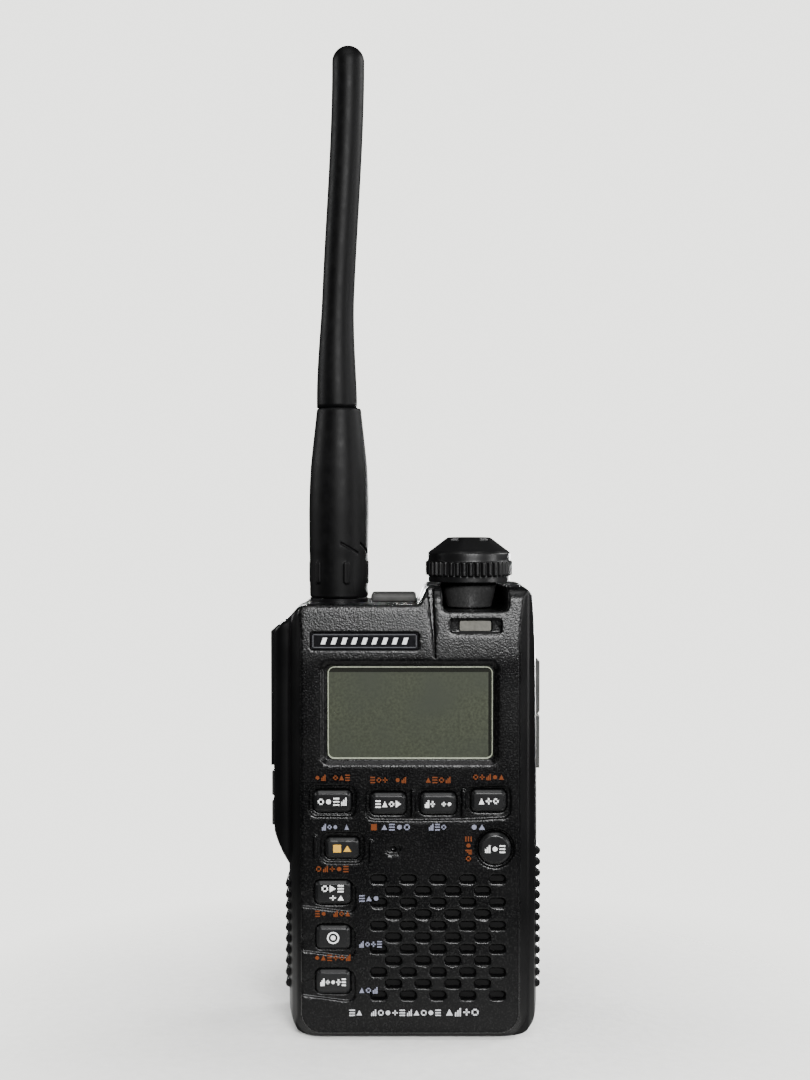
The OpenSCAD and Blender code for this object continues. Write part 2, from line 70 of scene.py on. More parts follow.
KEYS = ["key_mode", "key_band", "key_level", "key_memory", "key_function",
        "key_volume", "key_home", "key_link", "key_tuner"]
KEY_FLANGE = 0.45
KEY_ZONES = {name: grown(zone_of(name), -KEY_FLANGE) for name in KEYS}

FRONT_Y = span("front_case", "y")[0]
BACK_Y = span("rear_chassis", "y")[1]
SEAM_FRONT = span("front_case", "y")[1]
SEAM_BACK = span("rear_chassis", "y")[0]
KEY_TOP_Y = span("key_mode", "y")[0]
HALF_W = 21.95
BUTTON_ROOM = 0.8           # space behind a side button for its travel
BASE_R = 5.0                # lower corners of the body, seen from the front
EDGE_R = 2.0                # front and back edges, seen from the side
TOP_R = 3.0                 # the same above the leaning face
LEFT_TOP = 75.2             # top of the body on the antenna side
RIGHT_TOP = span("front_case", "z")[1]
FACE = (-19.35, 18.4)       # left and right edge of the raised face
FACE_DIP_Z = 66.0           # the face leans back above this height
FACE_DIP = 1.1
FACE_DIP_RUN = 10.5
WING_X = span("rear_chassis", "x")[0]
ANT_X = sum(span("antenna_collar", "x")) / 2
FOOT_Z = span("antenna_boot", "z")[0]
DIAL_X = sum(span("dial_knob", "x")) / 2
POCKET_R = 5.65
POCKET_Z = 74.1
JACK_X = sum(span("audio_jack", "x")) / 2
LCD = grown(zone_of("lcd_window"), -0.7)
BEZEL_LEFT = -16.25
PLATE = grown(zone_of("name_plate"), 0.1)
LENS = [8.0, 13.5, 70.7, 72.5]
LENS_RECESS = [6.45, 15.3, 70.4, 72.8]
MIC = [sum(span("microphone", "x")) / 2, sum(span("microphone", "z")) / 2]
SCREWS = [(-16.6, 4.0), (16.6, 4.0), (-17.9, 68.4), (17.9, 68.4)]
SCREW_HEAD_R = 1.85
SCREW_HEAD_DEPTH = 2.5
BAY_HALF_W = 17.6           # battery bay
BAY_LOW = 6.0
BAY_FRONT_Y = 3.8
RIB_Z = 8.4                 # height of the lowest grip rib
RIB_STEP = 1.95
RIB_HALF_Y = 6.5
ANT_HOLE_R = 3.3
JACK_HOLE_R = 2.75
BOOT_LENGTH = 33.6
KNURLS = 40


def face_y(z):
    """Depth of the front face at a height."""
    return FRONT_Y + FACE_DIP * min(max((z - FACE_DIP_Z) / FACE_DIP_RUN, 0), 1)


# ---------------------------------------------------------------- distance fields

def smooth_max(a, b, r):
    """The larger of two distances, with a round edge of radius r where they meet."""
    if r <= 0:
        return np.maximum(a, b)
    u = np.maximum(a + r, 0)
    v = np.maximum(b + r, 0)
    return np.minimum(-r, np.maximum(a, b)) + np.sqrt(u * u + v * v)


def smooth_min(a, b, r):
    return -smooth_max(-a, -b, r)


def rect_field(u, v, zone, r):
    """Distance to a rectangle [left, right, bottom, top] with corner radius r."""
    cu, cv = (zone[0] + zone[1]) / 2, (zone[2] + zone[3]) / 2
    hu, hv = (zone[1] - zone[0]) / 2, (zone[3] - zone[2]) / 2
    qu = np.abs(u - cu) - hu + r
    qv = np.abs(v - cv) - hv + r
    outside = np.sqrt(np.maximum(qu, 0) ** 2 + np.maximum(qv, 0) ** 2)
    return outside + np.minimum(np.maximum(qu, qv), 0) - r


def disc_field(u, v, cu, cv, r):
    return np.sqrt((u - cu) ** 2 + (v - cv) ** 2) - r


def slab_field(w, low, high):
    return np.maximum(low - w, w - high)


def polygon_field(u, v, points):
    """Distance to a closed polygon, negative inside."""
    u, v = np.broadcast_arrays(u, v)
    best = np.full(u.shape, FAR, np.float32)
    inside = np.zeros(u.shape, bool)
    for (x0, y0), (x1, y1) in zip(points, points[1:] + points[:1]):
        ex, ey = x1 - x0, y1 - y0
        wx, wy = u - x0, v - y0
        t = np.clip((wx * ex + wy * ey) / (ex * ex + ey * ey), 0, 1)
        best = np.minimum(best, np.hypot(wx - t * ex, wy - t * ey))
        crosses = (y0 > v) != (y1 > v)
        if ey:
            inside ^= crosses & (u < x0 + ex * (v - y0) / ey)
    return np.where(inside, -best, best)


def arc(cx, cy, r, a0, a1, n=10):
    steps = [math.radians(a0 + (a1 - a0) * i / n) for i in range(n + 1)]
    return [(cx + r * math.cos(a), cy + r * math.sin(a)) for a in steps]


class Block:
    """A solid kept as distances on a grid, in millimetres, and cut, joined and meshed."""

    def __init__(self, low, high, step):
        self.low, self.step = low, step
        axes = [np.arange(a, b + step, step, dtype=np.float32) for a, b in zip(low, high)]
        self.axes = axes
        self.d = np.full([len(a) for a in axes], FAR, np.float32)

    def part(self, low, high):
        """The slices and the x, y and z of the cells between two corners."""
        cells, places = [], []
        for i, axis in enumerate(self.axes):
            a = int(np.searchsorted(axis, low[i]))
            b = max(int(np.searchsorted(axis, high[i])), a + 1)
            shape = [1, 1, 1]
            shape[i] = -1
            cells.append(slice(a, b))
            places.append(axis[a:b].reshape(shape))
        return tuple(cells), places

    def whole(self):
        return self.part([a[0] for a in self.axes], [a[-1] + self.step for a in self.axes])

    def join(self, field, r=0.0, low=None, high=None):
        cells, xyz = self.part(low, high) if low else self.whole()
        self.d[cells] = smooth_min(self.d[cells], field(*xyz), r)

    def cut(self, field, r=0.0, low=None, high=None):
        cells, xyz = self.part(low, high) if low else self.whole()
        self.d[cells] = smooth_max(self.d[cells], -field(*xyz), r)

    def keep(self, field, r):
        """Cuts away everything outside the field."""
        cells, xyz = self.whole()
        self.d[cells] = smooth_max(self.d[cells], field(*xyz), r)

    def mesh(self, name, adaptivity=0.0):
        band = 3 * self.step
        grid = vdb.FloatGrid(band)
        grid.copyFromArray(np.ascontiguousarray(np.clip(self.d, -band, band), np.float32))
        points, tris, quads = grid.convertToPolygons(isovalue=0.0, adaptivity=adaptivity)
        points = (points * self.step + np.array(self.low)) * MM
        return mesh_object(name, points, [tris, quads])


def mesh_object(name, points, face_groups):
    """An object from arrays of points and of faces with the same number of corners."""
    mesh = bpy.data.meshes.new(name)
    loops = np.concatenate([np.asarray(f).reshape(-1) for f in face_groups]).astype(np.int32)
    sizes = np.concatenate([np.full(len(f), np.asarray(f).shape[1]) for f in face_groups if len(f)])
    mesh.vertices.add(len(points))
    mesh.vertices.foreach_set("co", np.asarray(points, np.float32).reshape(-1))
    mesh.loops.add(len(loops))
    mesh.loops.foreach_set("vertex_index", loops)
    mesh.polygons.add(len(sizes))
    starts = np.concatenate([[0], np.cumsum(sizes)[:-1]]).astype(np.int32)
    mesh.polygons.foreach_set("loop_start", starts)
    mesh.polygons.foreach_set("use_smooth", np.full(len(sizes), True))
    mesh.update(calc_edges=True)
    mesh.validate()
    obj = bpy.data.objects.new(name, mesh)
    bpy.context.scene.collection.objects.link(obj)
    return obj


# ---------------------------------------------------------------- materials

class Nodes:
    """Short way to build a node material."""

    def __init__(self, name):
        self.material = bpy.data.materials.new(name)
        self.material.use_nodes = True
        self.tree = self.material.node_tree
        self.shader = self.tree.nodes["Principled BSDF"]
        self.coords = self.tree.nodes.new("ShaderNodeTexCoord").outputs["Object"]

    def add(self, kind, inputs=None, **props):
        n = self.tree.nodes.new(kind)
        for key, value in props.items():
            setattr(n, key, value)
        for key, value in (inputs or {}).items():
            if isinstance(value, bpy.types.NodeSocket):
                self.tree.links.new(value, n.inputs[key])
            else:
                n.inputs[key].default_value = value
        return n

    def link(self, out, socket):
        self.tree.links.new(out, self.shader.inputs[socket])

    def noise(self, scale_mm, detail=3.0, rough=0.55, stretch=None):
        """Noise whose features are about scale_mm across; stretch squeezes it along an axis."""
        vector = self.coords
        if stretch:
            vector = self.add("ShaderNodeMapping", {"Vector": vector, "Scale": stretch}).outputs[0]
        inputs = {"Vector": vector, "Scale": 1 / (scale_mm * MM), "Detail": detail, "Roughness": rough}
        return self.add("ShaderNodeTexNoise", inputs).outputs["Fac"]

    def ramp(self, fac, low, high, a=0.0, b=1.0):
        inputs = {"Value": fac, "From Min": low, "From Max": high, "To Min": a, "To Max": b}
        return self.add("ShaderNodeMapRange", inputs).outputs[0]

    def mix(self, fac, a, b):
        n = self.add("ShaderNodeMix", data_type="RGBA")
        self.tree.links.new(fac, n.inputs[0])
        for socket, value in ((n.inputs[6], a), (n.inputs[7], b)):
            if isinstance(value, bpy.types.NodeSocket):
                self.tree.links.new(value, socket)
            else:
                socket.default_value = (*value, 1)
        return n.outputs[2]

    def bump(self, height, depth_mm):
        n = self.add("ShaderNodeBump", {"Height": height, "Distance": depth_mm * MM, "Strength": 1.0})
        self.link(n.outputs[0], "Normal")


def moulded(name, base, rough, grain_mm=0.16, grain_depth=0.012, wear=0.25, specular=0.5):
    """Moulded plastic: fine spark-eroded grain, slow shifts of shine, paler worn spots."""
    m = Nodes(name)
    grain = m.noise(grain_mm, 2.0, 0.6)
    cloud = m.noise(9.0, 3.0)
    dark = [c * 0.8 for c in base]
    worn = [c * (1 + wear) + 0.0006 for c in base]
    m.link(m.mix(m.ramp(grain, 0.35, 0.75), dark, worn), "Base Color")
    m.link(m.ramp(cloud, 0.3, 0.7, rough - 0.05, rough + 0.06), "Roughness")
    m.shader.inputs["Specular IOR Level"].default_value = specular
    m.bump(grain, grain_depth)
    return m.material


def glint_speckled(name, base, speck_glint, rough, grain_mm, grain_depth, specular):
    """Coarsely grained moulded plastic whose grain peaks are painted pale: painted glints where the peaks
    would catch the light.
    """
    m = Nodes(name)
    grain = m.noise(grain_mm, 1.0, 0.5)
    cloud = m.noise(9.0, 3.0)
    m.link(m.mix(m.ramp(grain, 0.53, 0.68), base, (speck_glint, speck_glint, speck_glint)), "Base Color")
    m.link(m.ramp(cloud, 0.3, 0.7, rough - 0.04, rough + 0.05), "Roughness")
    m.shader.inputs["Specular IOR Level"].default_value = specular
    m.bump(grain, grain_depth)
    return m.material


def rubber(name, base, rough, depth=0.01):
    """Matt rubber with a soft bloom of dust and faint streaks from handling."""
    m = Nodes(name)
    dust = m.noise(1.8, 5.0, 0.65)
    fine = m.noise(0.22, 2.0)
    m.link(m.mix(m.ramp(dust, 0.45, 0.8), base, [c * 1.5 + 0.0008 for c in base]), "Base Color")
    m.link(m.ramp(dust, 0.3, 0.75, rough - 0.06, rough + 0.07), "Roughness")
    m.shader.inputs["Specular IOR Level"].default_value = 0.06
    m.bump(fine, depth)
    return m.material


def metal(name, base, rough, stretch=(1, 1, 14)):
    """Metal with fine drawn lines."""
    m = Nodes(name)
    lines = m.noise(0.9, 3.0, 0.6, stretch)
    m.link(m.mix(lines, [c * 0.8 for c in base], base), "Base Color")
    m.link(m.ramp(lines, 0.3, 0.7, rough - 0.06, rough + 0.08), "Roughness")
    m.shader.inputs["Metallic"].default_value = 1.0
    m.bump(lines, 0.004)
    return m.material


def ink(name, colour, rough=0.55):
    """Pad-printed ink, slightly uneven; the display's painted edge highlight uses it too."""
    m = Nodes(name)
    patch = m.noise(0.5, 3.0)
    m.link(m.mix(m.ramp(patch, 0.3, 0.75), [c * 0.86 for c in colour], colour), "Base Color")
    m.link(m.ramp(patch, 0.3, 0.7, rough - 0.05, rough + 0.08), "Roughness")
    m.shader.inputs["Specular IOR Level"].default_value = 0.12
    m.bump(patch, 0.004)
    return m.material


def window_clear(name):
    """Clear window: mostly see-through, with a mirror-like skin."""
    m = Nodes(name)
    out = m.tree.nodes["Material Output"]
    smear = m.noise(6.0, 4.0)
    haze = m.ramp(smear, 0.3, 0.7, 0.03, 0.12)
    gloss = m.add("ShaderNodeBsdfGlossy", {"Color": (1, 1, 1, 1), "Roughness": haze})
    clear = m.add("ShaderNodeBsdfTransparent", {"Color": (0.95, 0.96, 0.94, 1)})
    share = m.add("ShaderNodeFresnel", {"IOR": 1.45})
    both = m.add("ShaderNodeMixShader", {"Fac": share.outputs[0]})
    m.tree.links.new(clear.outputs[0], both.inputs[1])
    m.tree.links.new(gloss.outputs[0], both.inputs[2])
    m.tree.links.new(both.outputs[0], out.inputs["Surface"])
    m.tree.nodes.remove(m.shader)
    return m.material


def display(name):
    """Switched-off liquid crystal panel: grey-green, with a fine pearl grain."""
    m = Nodes(name)
    pearl = m.noise(0.45, 2.0)
    cloud = m.noise(12.0, 2.0)
    fine = m.mix(m.ramp(pearl, 0.35, 0.7), (0.022, 0.0245, 0.0155), (0.039, 0.0435, 0.0285))
    m.link(m.mix(m.ramp(cloud, 0.35, 0.7), fine, (0.025, 0.028, 0.0205)), "Base Color")
    m.link(m.ramp(pearl, 0.3, 0.7, 0.38, 0.5), "Roughness")
    m.shader.inputs["Specular IOR Level"].default_value = 0.15
    m.bump(pearl, 0.002)
    return m.material


# Front face: the pale specks at the grain's peaks are painted glints.
CASE = glint_speckled("case_grain", (0.0008, 0.0008, 0.0009), 0.006, 0.28, 0.3, 0.045, 0.12)
SATIN = moulded("case_satin", (0.001, 0.001, 0.0011), 0.34, 0.1, 0.004, 0.3, 0.1)
# Back finish: coarser grain than the sides, and painted paler to stand in for light on the back.
BACK_PAINTED_LIGHT = moulded("back_grain_painted_light", (0.008, 0.008, 0.0085), 0.38, 0.3, 0.04, 0.5, 0.35)
# Knob neck: grained like the case, painted much paler as a painted sheen.
NECK_PAINTED_SHEEN = moulded("neck_grain_painted_sheen", (0.014, 0.014, 0.014), 0.35, 0.3, 0.05, 0.5, 0.5)
KEY = moulded("key_plastic", (0.0036, 0.0037, 0.0039), 0.33, 0.12, 0.004, 0.3, 0.18)
KNOB = moulded("knob_plastic", (0.0018, 0.0018, 0.0019), 0.38, 0.12, 0.006, 0.4, 0.16)
ANTENNA = rubber("antenna_rubber", (0.001, 0.001, 0.0011), 0.48)
CAP_RUBBER = rubber("cap_rubber", (0.03, 0.03, 0.029), 0.4)
SEAL = rubber("seal_rubber", (0.008, 0.008, 0.008), 0.6)
NET = rubber("speaker_net", (0.002, 0.002, 0.002), 0.6, 0.03)
STEEL = metal("bright_steel", (0.46, 0.47, 0.49), 0.3)
GOLD = metal("gold_plate", (0.62, 0.44, 0.18), 0.28)
PLATE_DARK = metal("plate_dark", (0.008, 0.008, 0.009), 0.32, (14, 1, 1))
PLATE_LINE = ink("plate_line", (0.045, 0.046, 0.05), 0.4)
BOARD = moulded("board_green", (0.015, 0.10, 0.045), 0.35, 0.6, 0.01)
PALE = moulded("pale_plastic", (0.62, 0.58, 0.48), 0.45, 0.2, 0.005, 0.1)
DARK_PART = moulded("inner_dark", (0.03, 0.03, 0.032), 0.5)
BATTERY = moulded("battery_shell", (0.035, 0.038, 0.045), 0.42, 0.2, 0.008)
LENS_SMOKE = moulded("lens_smoke", (0.08, 0.078, 0.068), 0.2, 0.8, 0.002, 0.2, 0.5)
LCD_PANEL = display("lcd_panel")
# Painted highlight: the pale ring along the display window's bevelled edge.
LCD_EDGE_HIGHLIGHT = ink("lcd_edge_painted_highlight", (0.25, 0.265, 0.21), 0.25)
# Painted shade: dark sheets over the display panel below the window's upper and right walls.
LCD_SHADE = moulded("lcd_shade", (0.007, 0.0075, 0.0055), 0.5, 0.3, 0.002, 0.3, 0.05)
CLEAR = window_clear("window_clear")
WHITE = ink("ink_white", (0.56, 0.565, 0.56))
ORANGE = ink("ink_orange", (0.085, 0.019, 0.0016))
YELLOW = ink("ink_yellow", (0.4, 0.225, 0.025))
LAVENDER = ink("ink_lavender", (0.12, 0.125, 0.165))
SILVER = ink("ink_silver", (0.34, 0.345, 0.355), 0.35)


def dress(obj, *materials):
    obj.data.materials.clear()
    for m in materials:
        obj.data.materials.append(m)


def polygon_vectors(mesh, attribute):
    """One row of x, y and z for every polygon's centre or normal."""
    values = np.empty(len(mesh.polygons) * 3, np.float32)
    mesh.polygons.foreach_get(attribute, values)
    return values.reshape(-1, 3)


def paint(mesh, chosen):
    """Gives the second material to the chosen polygons and the first to the others."""
    mesh.polygons.foreach_set("material_index", chosen.astype(np.int32))


# ---------------------------------------------------------------- case

def front_outline():
    """Body without the side panel, seen from the front."""
    return (
        arc(-HALF_W + BASE_R, BASE_R, BASE_R, 270, 180)
        + [(-HALF_W, 58.0), (-21.75, 69.0), (-21.2, 72.2), (-20.4, 73.7)]
        + [(-19.3, LEFT_TOP - 0.25), (-18.2, LEFT_TOP), (0.7, LEFT_TOP), (1.2, LEFT_TOP + 0.45)]
        + [(2.1, RIGHT_TOP - 0.9), (2.6, RIGHT_TOP - 0.25), (3.4, RIGHT_TOP)]
        + arc(HALF_W - 4.0, RIGHT_TOP - 3.0, 3.0, 90, 14)
        + [(HALF_W - 0.75, 71.5), (HALF_W - 0.4, 65.0), (HALF_W - 0.1, 50.0), (HALF_W, 37.8)]
        + arc(HALF_W - BASE_R, BASE_R, BASE_R, 0, -90)
    )


def top_outline():
    """Body seen from above, with sides that fall back from the face."""
    left, right = FACE
    return (
        [(left, FRONT_Y), (-HALF_W + 0.9, FRONT_Y + 3.2), (-HALF_W, FRONT_Y + 6.4)]
        + arc(-HALF_W + 4, BACK_Y - 4, 4, 180, 90)
        + arc(HALF_W - 4, BACK_Y - 4, 4, 90, 0)
        + [(HALF_W, FRONT_Y + 6.6), (HALF_W - 0.7, FRONT_Y + 3.4), (right, FRONT_Y)]
    )


def side_outline():
    """Body seen from the side, with the face leaning back above the display."""
    return (
        arc(FRONT_Y + EDGE_R, EDGE_R, EDGE_R, 270, 180)
        + [(FRONT_Y, FACE_DIP_Z)]
        + arc(FRONT_Y + FACE_DIP + TOP_R, RIGHT_TOP - TOP_R, TOP_R, 180, 90)
        + arc(BACK_Y - EDGE_R, RIGHT_TOP - EDGE_R, EDGE_R, 90, 0)
        + arc(BACK_Y - EDGE_R, EDGE_R, EDGE_R, 0, -90)
    )


def wing_outline():
    """The raised panel around the talk button, seen from the front."""
    x = WING_X
    return (
        [(-19.0, 28.4), (-HALF_W + 0.1, 29.8), (x + 1.9, 31.4), (x + 0.95, 33.4)]
        + [(x + 0.2, 35.2), (x, 37.0), (x, 69.6)]
        + arc(x + 1.5, 69.9, 1.5, 178, 120, 6)
        + [(-22.3, 72.2), (-21.2, 73.4), (-20.2, 74.5), (-19.0, 74.7)]
    )


def body_field(x, y, z):
    """Distance to the closed body with its side panel and raised face."""
    body = smooth_max(polygon_field(x, z, front_outline()), polygon_field(x, y, top_outline()), 0.5)
    wing_section = rect_field(x, y, [WING_X, -10.0, -6.9, 6.4], 2.2)
    wing = smooth_max(polygon_field(x, z, wing_outline()), wing_section, 0.6)
    both = smooth_min(body, wing, 0.5)
    both = smooth_max(both, polygon_field(y, z, side_outline()), 0.5)
    # the face stands a little proud inside an edge that is round at the bottom corners
    face_edge = rect_field(x, z, [FACE[0] + 0.1, FACE[1] - 0.1, 1.1, 120.0], 3.6)
    bank = (FRONT_Y + 0.55 + np.minimum(face_edge, 1.6) * 0.9 - y) * 0.74
    step = np.maximum(bank, -face_edge)
    return smooth_max(both, np.where(face_edge > 0, step, -FAR), 0.12)


def add_grip_ribs(block, y0, y1):
    """Scalloped ribs down both lower sides."""
    for side, count in ((-1, 10), (1, 13)):
        for i in range(count):
            cz = RIB_Z + RIB_STEP * i
            cx = side * (HALF_W - 0.3)

            def rib(x, y, z):
                length = slab_field(y, -RIB_HALF_Y, RIB_HALF_Y)
                return smooth_max(disc_field(x, z, cx, cz, 0.74), length, 0.3)
            block.join(rib, 0.12, [cx - 1.6, y0, cz - 1.6], [cx + 1.6, y1, cz + 1.6])


def cut_shared_openings(block, y0, y1):
    """Dial pocket, button and cover openings that cross the seam."""
    def pocket(x, y, z):
        floor = POCKET_Z - z
        ring = disc_field(x, y, DIAL_X, 0, POCKET_R)
        lean = 0.7 * np.clip(-y / 10, 0, 1)
        slot = np.maximum(np.abs(x - DIAL_X - lean) - POCKET_R, y)
        return smooth_max(np.minimum(ring, slot), floor, 1.1)
    block.cut(pocket, 0.45, [2.0, y0, POCKET_Z - 1.5], [18.5, y1, RIGHT_TOP + 1])

    def antenna_hole(x, y, z):
        return disc_field(x, y, ANT_X, 0, ANT_HOLE_R)
    block.cut(antenna_hole, 0.1, [ANT_X - 5, y0, 71], [ANT_X + 5, y1, LEFT_TOP + 1.5])

    def jack_hole(x, y, z):
        return disc_field(x, y, JACK_X, 0, JACK_HOLE_R)
    block.cut(jack_hole, 0.15, [JACK_X - 4, y0, 62], [JACK_X + 4, y1, LEFT_TOP + 1.5])

    for node in ("ptt_button", "monitor_button", "power_button"):
        lo, hi = (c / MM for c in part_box(node))
        fit = 0.12
        inner_end = hi.x + BUTTON_ROOM

        def hole(x, y, z):
            window = rect_field(y, z, [lo.y - fit, hi.y + fit, lo.z - fit, hi.z + fit], 0.5)
            return np.maximum(window, x - inner_end)
        block.cut(hole, 0.18, [WING_X - 1, y0, lo.z - 1.5], [inner_end + 1, y1, hi.z + 1.5])

    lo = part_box("dc_cap_anchor")[0] / MM
    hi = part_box("dc_cap")[1] / MM

    def cover_seat(x, y, z):
        window = rect_field(y, z, [lo.y - 0.1, hi.y + 0.1, lo.z - 0.1, hi.z + 0.1], 0.4)
        return np.maximum(window, lo.x - 0.1 - x)
    block.cut(cover_seat, 0.15, [lo.x - 1, y0, lo.z - 1.5], [HALF_W + 1.5, y1, hi.z + 1.5])


def recess(zone, depth, corner, floor_r=0.25, draft=0.0):
    """A pocket in the face; draft opens its walls outwards."""
    def field(x, y, z):
        wall = rect_field(x, z, zone, corner) - draft * (FRONT_Y + depth - y)
        return smooth_max(wall, y - (FRONT_Y + depth), floor_r)
    return field


def cut_recess(block, zone, depth, corner, edge=0.18, floor_r=0.25, draft=0.0):
    wide = grown(zone, 1.2 + abs(draft) * depth * 1.5)
    low = [wide[0], FRONT_Y - 1, wide[2]]
    high = [wide[1], FRONT_Y + depth + 1, wide[3]]
    block.cut(recess(zone, depth, corner, floor_r, draft), edge, low, high)


def cut_key_row(block, zone):
    """The shared recess of three keys, its long edges sagging towards the middle of the face."""
    def field(x, y, z):
        sag = 0.5 * np.clip(1 - (x / 17.0) ** 2, 0, 1)
        return smooth_max(rect_field(x, z + sag, zone, 1.4), y - (FRONT_Y + 0.5), 0.2)
    low = [zone[0] - 1, FRONT_Y - 1, zone[2] - 1.5]
    block.cut(field, 0.18, low, [zone[1] + 1, FRONT_Y + 1.5, zone[3] + 1])


def cut_key_shelf(block, key):
    """A shallow step around a key of the left column, open to the face's left edge."""
    zone = [FACE[0] - 3, key[1] + 0.9, key[2] - 0.75, key[3] + 0.6]

    def field(x, y, z):
        drop = 0.13 * (x - key[0])
        lower = rect_field(x, z + np.clip(drop, -0.5, 0.9), zone, 1.5)
        upper = (z - (key[3] + 0.6)) - 0.35 * (x - key[1])
        return smooth_max(np.maximum(lower, upper), y - (FRONT_Y + 0.45), 0.2)
    low = [FACE[0] - 2, FRONT_Y - 1, zone[2] - 1.5]
    block.cut(field, 0.15, low, [zone[1] + 1.2, FRONT_Y + 1.4, zone[3] + 1])


def add_ridge(block, cx, half, z0, z1, proud):
    """A low upright ridge on the face."""
    def ridge(x, y, z):
        edge = rect_field(x, z, [cx - half, cx + half, z0, z1], half * 0.9)
        return smooth_max(edge, slab_field(y, FRONT_Y - proud, FRONT_Y + 1), 0.2)
    block.join(ridge, 0.1, [cx - 1.2, FRONT_Y - 0.6, z0 - 1], [cx + 1.2, FRONT_Y + 1, z1 + 1])


def speaker_places():
    """Centres of the speaker slots, six rows of five between five rows of four."""
    x0, z0, dx, dz = -5.96, 7.7, 5.13, 4.04
    full = [(x0 + i * dx, z0 + j * dz) for j in range(6) for i in range(5)]
    return full + [(x0 + (i + 0.5) * dx, z0 + (j + 0.5) * dz) for j in range(5) for i in range(4)]


def build_front_case():
    """The front shell: raised face, recesses, speaker slots and dial housing."""
    step = 0.14
    block = Block([-25.2, FRONT_Y - 0.6, -0.5], [22.8, SEAM_FRONT + 0.5, RIGHT_TOP + 0.6], step)
    block.join(body_field)
    add_grip_ribs(block, FRONT_Y, SEAM_FRONT + 1)
    cut_shared_openings(block, FRONT_Y - 1, SEAM_FRONT + 1)

    # tapering groove between the plate side and the dial housing
    def groove(x, y, z):
        run = np.clip((z - 66.4) / 12.0, 0, 1)
        centre = 3.75 - 0.75 * run
        half = 0.06 + 0.48 * run
        return np.maximum(np.abs(x - centre) - half, y - (FRONT_Y + FACE_DIP * 0.5 + 0.2 + 2.4 * run))
    block.cut(groove, 0.22, [0.5, FRONT_Y - 1, 66.0], [6.0, FRONT_Y + 6, RIGHT_TOP + 1])

    # display bezel: a shallow tray with sloping walls, then the window's own hole
    tray = [BEZEL_LEFT + 0.9, LCD[1] + 0.35, LCD[2] - 0.35, LCD[3] + 0.25]
    cut_recess(block, tray, 0.85, 0.9, 0.25, 0.15, draft=1.0)
    cut_recess(block, grown(LCD, 0.05), 3.0, 0.7, 0.1)
    cut_recess(block, PLATE, 1.1, 0.5, 0.12)
    cut_recess(block, LENS_RECESS, 1.1, 0.5, 0.1)
    cut_recess(block, LENS, 3.0, 0.3, 0.08)

    row = KEY_ZONES["key_band"], KEY_ZONES["key_level"], KEY_ZONES["key_memory"]
    cut_recess(block, grown(KEY_ZONES["key_mode"], 0.85), 0.5, 1.4)
    cut_key_row(block, [row[0][0] - 0.85, row[2][1] + 0.85, row[0][2] - 0.65, row[2][3] + 0.75])
    cut_recess(block, grown(KEY_ZONES["key_function"], 0.85), 0.5, 1.4)
    for name in ("key_home", "key_link", "key_tuner"):
        cut_key_shelf(block, KEY_ZONES[name])
    cut_recess(block, grown(KEY_ZONES["key_volume"], 0.6), 0.5, 3.35)

    # dividers stand between the keys of the shared recess
    for a, b in zip(row, row[1:]):
        add_ridge(block, (a[1] + b[0]) / 2, 0.3, a[2] - 0.5, a[3] + 0.5, 0.05)

    # short ridges either side of the function key
    zone = KEY_ZONES["key_function"]
    add_ridge(block, zone[0] - 1.75, 0.34, zone[2] - 0.2, zone[3] + 0.4, 0.25)
    add_ridge(block, zone[1] + 2.1, 0.34, zone[2] - 1.0, zone[3] - 0.5, 0.25)

    for name in KEYS:
        corner = 2.95 if name == "key_volume" else 1.1
        cut_recess(block, grown(KEY_ZONES[name], 0.18), 2.6, corner, 0.06)

    # speaker slots and the microphone's hole
    for cx, cz in speaker_places():
        zone = [cx - 1.35, cx + 1.35, cz - 0.68, cz + 0.68]
        cut_recess(block, zone, 1.6, 0.64, 0.14, 0.05, draft=0.1)
    cut_recess(block, [MIC[0] - 1.3, MIC[0] + 1.3, MIC[1] - 0.85, MIC[1] + 0.85], 0.5, 0.84, 0.14)
    cut_recess(block, [MIC[0] - 0.5, MIC[0] + 0.5, MIC[1] - 0.5, MIC[1] + 0.5], 1.6, 0.49, 0.08)

    block.keep(lambda x, y, z: y - SEAM_FRONT, 0.12)
    case = block.mesh("front_shell", 0.02)
    dress(case, CASE, SATIN)
    paint_sides(case)
    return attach(case, "body")


def paint_sides(case):
    """Gives the smooth satin finish to everything outside the raised grained face."""
    x, _, z = polygon_vectors(case.data, "center").T / MM
    paint(case.data, (x < FACE[0] - 0.25) | (x > FACE[1] + 0.3) | (z < 0.8))


